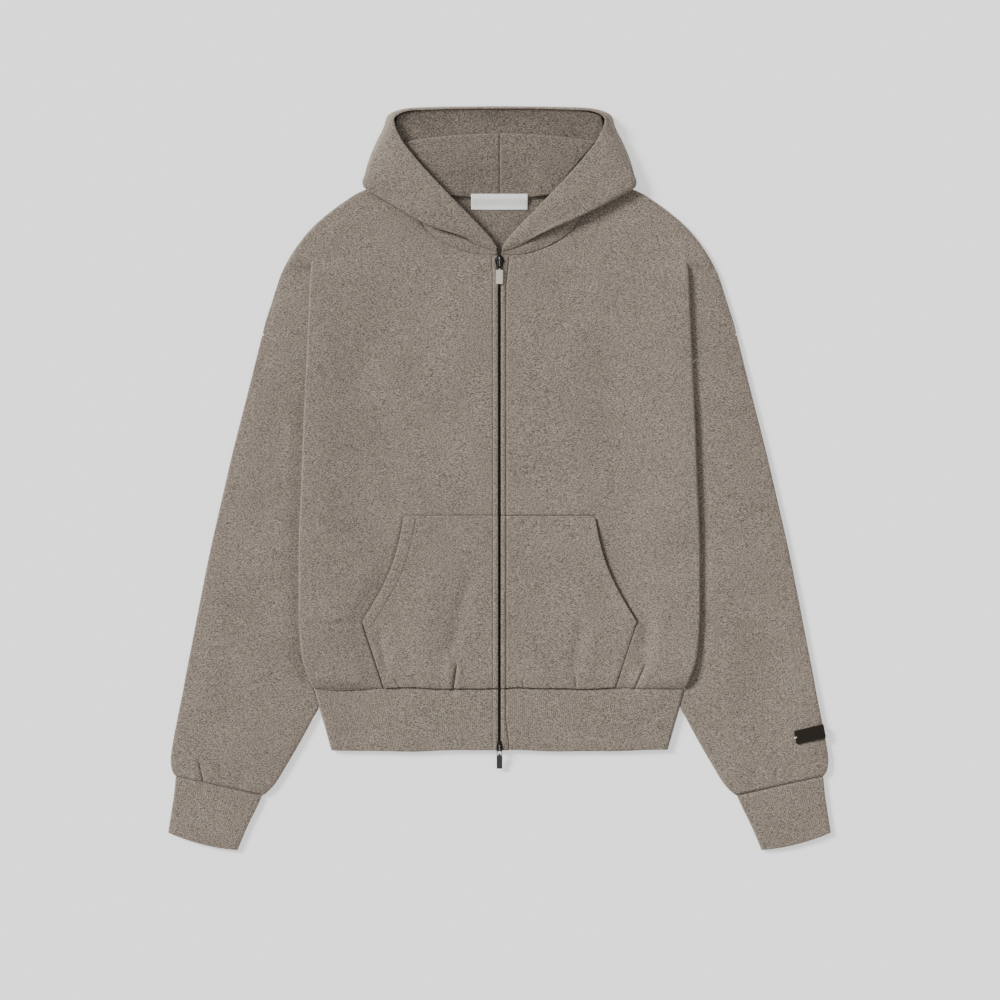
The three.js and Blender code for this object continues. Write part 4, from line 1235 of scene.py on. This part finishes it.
# Zip teeth, from both sides in turn
TEETH_TOP = 249.3
TEETH_END = -311.0
TOOTH_PITCH = 2.5
TEETH_LOW = 4.5
TEETH_HIGH = 6.6
teeth = []
for side in (1, -1):
    first = TEETH_END + (0.8 if side > 0 else 0.8 + TOOTH_PITCH / 2)
    for y in np.arange(first, TEETH_TOP - 0.8, TOOTH_PITCH):
        x0, x1 = sorted((-0.6 * side, 1.3 * side))
        outline = [(x1, y + 0.55), (x1, y - 0.55), (x0, y - 0.42), (x0, y + 0.42)]
        teeth.append(plate_parts(outline, TEETH_LOW, TEETH_HIGH, 0.2))
detail("zip_chain", teeth, DARK_METAL, "dark_metal", node="zip_teeth", smooth_faces=False)

HINGE_Z = 9.6
PLATE_LOW = 7.2
PLATE_HIGH = 8.2
BRIDGE_TOP = 11.0
LINK_BAR = 0.45
TAB_THICK = 1.5
SLIDERS = {
    "top": {
        "y": 256.0,
        "droop": 3.4,
        "stem": (-6, 6),
        "link_half": 2.25,
        "link_end": 9.6,
        "tab": (10, 26.6, 4.1),
        "sides": ((-7.5, 2.6), (-5.2, 3.8), (-2.2, 5.4), (1.2, 5), (4, 4.1), (9.5, 3.4)),
        "tab_metal": PALE_METAL,
        "tab_slot": "pale_metal",
    },
    "bottom": {
        "y": -319.5,
        "droop": 13,
        "stem": (-8, 1.5),
        "link_half": 2.8,
        "link_end": 7,
        "tab": (7.4, 23.8, 3.4),
        "sides": ((-10, 1.9), (-5.5, 3.2), (-1.5, 3.6), (2.5, 3.5)),
        "tab_metal": DARK_TAB,
        "tab_slot": "dark_metal",
    },
}


def hung(part, size):
    """A part of a pull, turned down from its hinge and put in its place."""
    vertices, faces, uv = part
    a = math.radians(size["droop"])
    y = vertices[:, 1] * math.cos(a) - vertices[:, 2] * math.sin(a)
    z = vertices[:, 1] * math.sin(a) + vertices[:, 2] * math.cos(a)
    return np.column_stack([vertices[:, 0], y + size["y"], z + HINGE_Z]), faces, uv


def loop_path(half, top, bottom, r):
    """A rounded rectangle in the plane of a pull."""
    right, left, high, low = half - r, -half + r, top - r, bottom + r
    corners = ((right, high, 0), (left, high, 90), (left, low, 180), (right, low, 270))
    points = []
    for x, y, start in corners:
        for turn in np.radians(start + np.linspace(0, 90, 6)):
            points.append((x + r * math.cos(turn), y + r * math.sin(turn), 0))
    return np.array(points)


for name, size in SLIDERS.items():
    y = size["y"]
    sides = np.array([(half, y - u) for u, half in size["sides"]])
    sides = through(sides, np.linspace(0, len(sides) - 1, 26))
    x_stem = [(1.5, y - end) for end in size["stem"]]
    near = y - min(6.4, size["sides"][-1][0]) + 0.6
    far = y + 5
    rise = ((0, PLATE_HIGH - 0.3), (0.05, 9.6), (0.5, 10.6), (1.4, BRIDGE_TOP))
    arch = [(0, near + run, z) for run, z in rise] + [(0, far - run, z) for run, z in rise[::-1]]
    arch = through(arch, np.linspace(0, 7, 30))
    rail = stacked(sides[2:-1, 0] - 0.55, sides[2:-1, 1], PLATE_HIGH - 0.05)
    body = [
        plate_parts(down_and_up(sides), PLATE_LOW, PLATE_HIGH, 0.3),
        plate_parts(down_and_up(x_stem), 4.4, PLATE_LOW + 0.1, 0.1),
        *[tube_parts(mirrored(rail, sign), 0.42) for sign in (1, -1)],
    ]
    detail(f"slider_{name}_body", body, DARK_METAL, "dark_metal", node=f"slider_{name}")
    # The bridge takes the paler metal as a painted highlight.
    detail(f"slider_{name}_bridge", [tube_parts(arch, 0.8)], PAINTED_HIGHLIGHT_METAL, "dark_metal")
    end = -size["link_end"] + LINK_BAR
    link = hung(tube_parts(loop_path(size["link_half"], 0, end, 0.9), LINK_BAR, closed=True), size)
    detail(f"pull_{name}_ring", [link], DARK_TAB, "dark_metal", f"pull_{name}", f"pull_{name}_link")
    top, bottom, half = size["tab"]
    clamp = [(x, end, 0) for x in (-0.9, -0.8, 0.8, 0.9)]
    neck = down_and_up([(0.9, end), (0.9, -top - 0.6)])
    outer = rounded_sides(half, -top, -bottom, 1.0)
    raised = rounded_sides(half - 0.9, -top - 0.9, -bottom + 0.9, 0.7)
    thick = TAB_THICK / 2
    tab = [
        plate_parts(down_and_up(outer), -thick, thick, 0.15),
        plate_parts(down_and_up(raised), 0.5, thick + 0.12, 0.1),
        tube_parts(clamp, 0.8 * np.array([0.8, 1, 1, 0.8])),
        plate_parts(neck, -0.6, 0.6, 0.15),
    ]
    tab, metal, slot = [hung(part, size) for part in tab], size["tab_metal"], size["tab_slot"]
    detail(f"pull_{name}_plate", tab, metal, slot, f"pull_{name}", f"pull_{name}_tab", smooth_faces=False)

# The bare woven label at the neck, sewn down along its upper edge
NECK_LABEL = rows_of("y z", (317.4, 2.6), (322, 3), (327, 4.6), (331, 5.8), (336, 6.1))
NECK_LABEL_HALF = 33.5
NECK_LABEL_CLOTH = 0.5
NECK_LABEL_SEAM_Y = 335
label_z = curve_of(NECK_LABEL, "y", "z")


def neck_label_points():
    xs = np.linspace(-NECK_LABEL_HALF, NECK_LABEL_HALF, 50)
    rows = []
    for y in np.linspace(*NECK_LABEL["y"][[0, -1]], 30):
        z = label_z(y) + 0.15 * np.sin(xs / 9) * smooth((330 - y) / 10) + 0.1
        rows.append(stacked(xs, y, z))
    return np.array(rows)


half = NECK_LABEL_CLOTH / 2
under = ["hood_lining_left_cloth", "hood_lining_right_cloth"]
points = neck_label_points()
cloth_piece("neck_label", "weave", points, half, rims_of(ALL_EDGES, half), WHITE_WEAVE)
edge_x = np.linspace(-NECK_LABEL_HALF + 1, NECK_LABEL_HALF - 1, 80)
edge = stacked(edge_x, NECK_LABEL_SEAM_Y, label_z(NECK_LABEL_SEAM_Y) + 0.33)
threads = stitches(edge, pitch=2.6, length=1.9, radius=0.16)
detail("neck_label_stitches", threads, WHITE_THREAD, "white_weave")

# The bare rubber label on the left sleeve, with stitches across its two short edges
LABEL_CORNERS = np.array([(382.3, -289.7), (385.3, -306.2), (350.8, -313.8), (347.3, -298.0)])
LABEL_LOW = 8.0
LABEL_HIGH = 9.1
LABEL_ROUND = 1.6


def rounded_corners(corners, r):
    """A corner polygon with each corner replaced by a short arc."""
    points = []
    for k in range(len(corners)):
        before, here, after = corners[k - 1], corners[k], corners[(k + 1) % len(corners)]
        a = here + (before - here) / np.linalg.norm(before - here) * r
        b = here + (after - here) / np.linalg.norm(after - here) * r
        for t in np.linspace(0, 1, 6):
            points.append((1 - t) ** 2 * a + 2 * t * (1 - t) * here + t**2 * b)
    return np.array(points)


outline = np.roll(rounded_corners(LABEL_CORNERS, LABEL_ROUND), -3, axis=0)
plate = [plate_parts(outline, LABEL_LOW, LABEL_HIGH, 0.25)]
detail("sleeve_label_plate", plate, DARK_RUBBER, "dark_rubber", node="sleeve_label", smooth_faces=False)
right_top, right_low, left_low, left_top = LABEL_CORNERS
left_end, right_end = (left_top, left_low), (right_top, right_low)
middle = LABEL_CORNERS.mean(axis=0)
white, dark = [], []
runs = (
    (-1.1, LABEL_LOW - 0.2),
    (-0.7, LABEL_HIGH),
    (0, LABEL_HIGH + 0.25),
    (1.2, LABEL_HIGH + 0.15),
    (1.6, LABEL_HIGH - 0.3),
)
places = [(end, 0.5) for end in (left_end, right_end)]
places += [(end, share) for end in (left_end, right_end) for share in (0.2, 0.8)]
for end, share in places:
    here = end[0] + (end[1] - end[0]) * share
    inward = (middle - here) / np.linalg.norm(middle - here)
    thread = [(*(here + inward * run), z) for run, z in runs]
    is_white = share == 0.5 and end is left_end
    (white if is_white else dark).append(tube_parts(thread, 0.85 if is_white else 0.25))
detail("sleeve_label_white_stitch", white, WHITE_THREAD, "white_weave")
detail("sleeve_label_stitches", dark, TAPE, "zip_tape")

# The zip's tapes keep their CAD shape.
for node in ("zip_tape_left", "zip_tape_right"):
    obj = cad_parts[node]
    obj.data.materials.clear()
    obj.data.materials.append(TAPE)

# The pale floor, soft light from the upper left, and the camera straight above.
FLOOR_HALF = 4.0
FLOOR_Z = -0.0006
mesh = bpy.data.meshes.new("floor")
corners = [(x * FLOOR_HALF, y * FLOOR_HALF, FLOOR_Z) for x, y in ((-1, -1), (1, -1), (1, 1), (-1, 1))]
mesh.from_pydata(corners, [], [(0, 1, 2, 3)])
floor = bpy.data.objects.new("floor", mesh)
bpy.context.scene.collection.objects.link(floor)
pale, _, _, pale_shader = started("pale_floor")
set_inputs(pale_shader, Base_Color=(0.95, 0.95, 0.95, 1), Roughness=0.9)
set_inputs(pale_shader, Emission_Color=(1, 1, 1, 1), Emission_Strength=0.6)
floor.data.materials.append(pale)

world = bpy.data.worlds.new("soft_room")
bpy.context.scene.world = world
world.use_nodes = True
set_inputs(world.node_tree.nodes["Background"], Color=(1, 1, 1, 1), Strength=0.54)


def sun(name, strength, azimuth, elevation, softness):
    light = bpy.data.lights.new(name, "SUN")
    light.energy = strength
    light.angle = math.radians(softness)
    obj = bpy.data.objects.new(name, light)
    a, e = math.radians(azimuth), math.radians(elevation)
    obj.rotation_euler = (0, math.pi / 2 - e, a)
    bpy.context.scene.collection.objects.link(obj)


sun("key", strength=4.1, azimuth=150, elevation=32, softness=18)

FIELD_WIDTH = 1.18
CAMERA_HIGH = 4.0
camera = bpy.data.cameras.new("camera")
camera.sensor_width = 36
camera.lens = camera.sensor_width * CAMERA_HIGH / FIELD_WIDTH
camera.clip_end = 20
camera_object = bpy.data.objects.new("camera", camera)
camera_object.location = (0.0006, -0.0254, CAMERA_HIGH + 0.008)
bpy.context.scene.collection.objects.link(camera_object)
bpy.context.scene.camera = camera_object
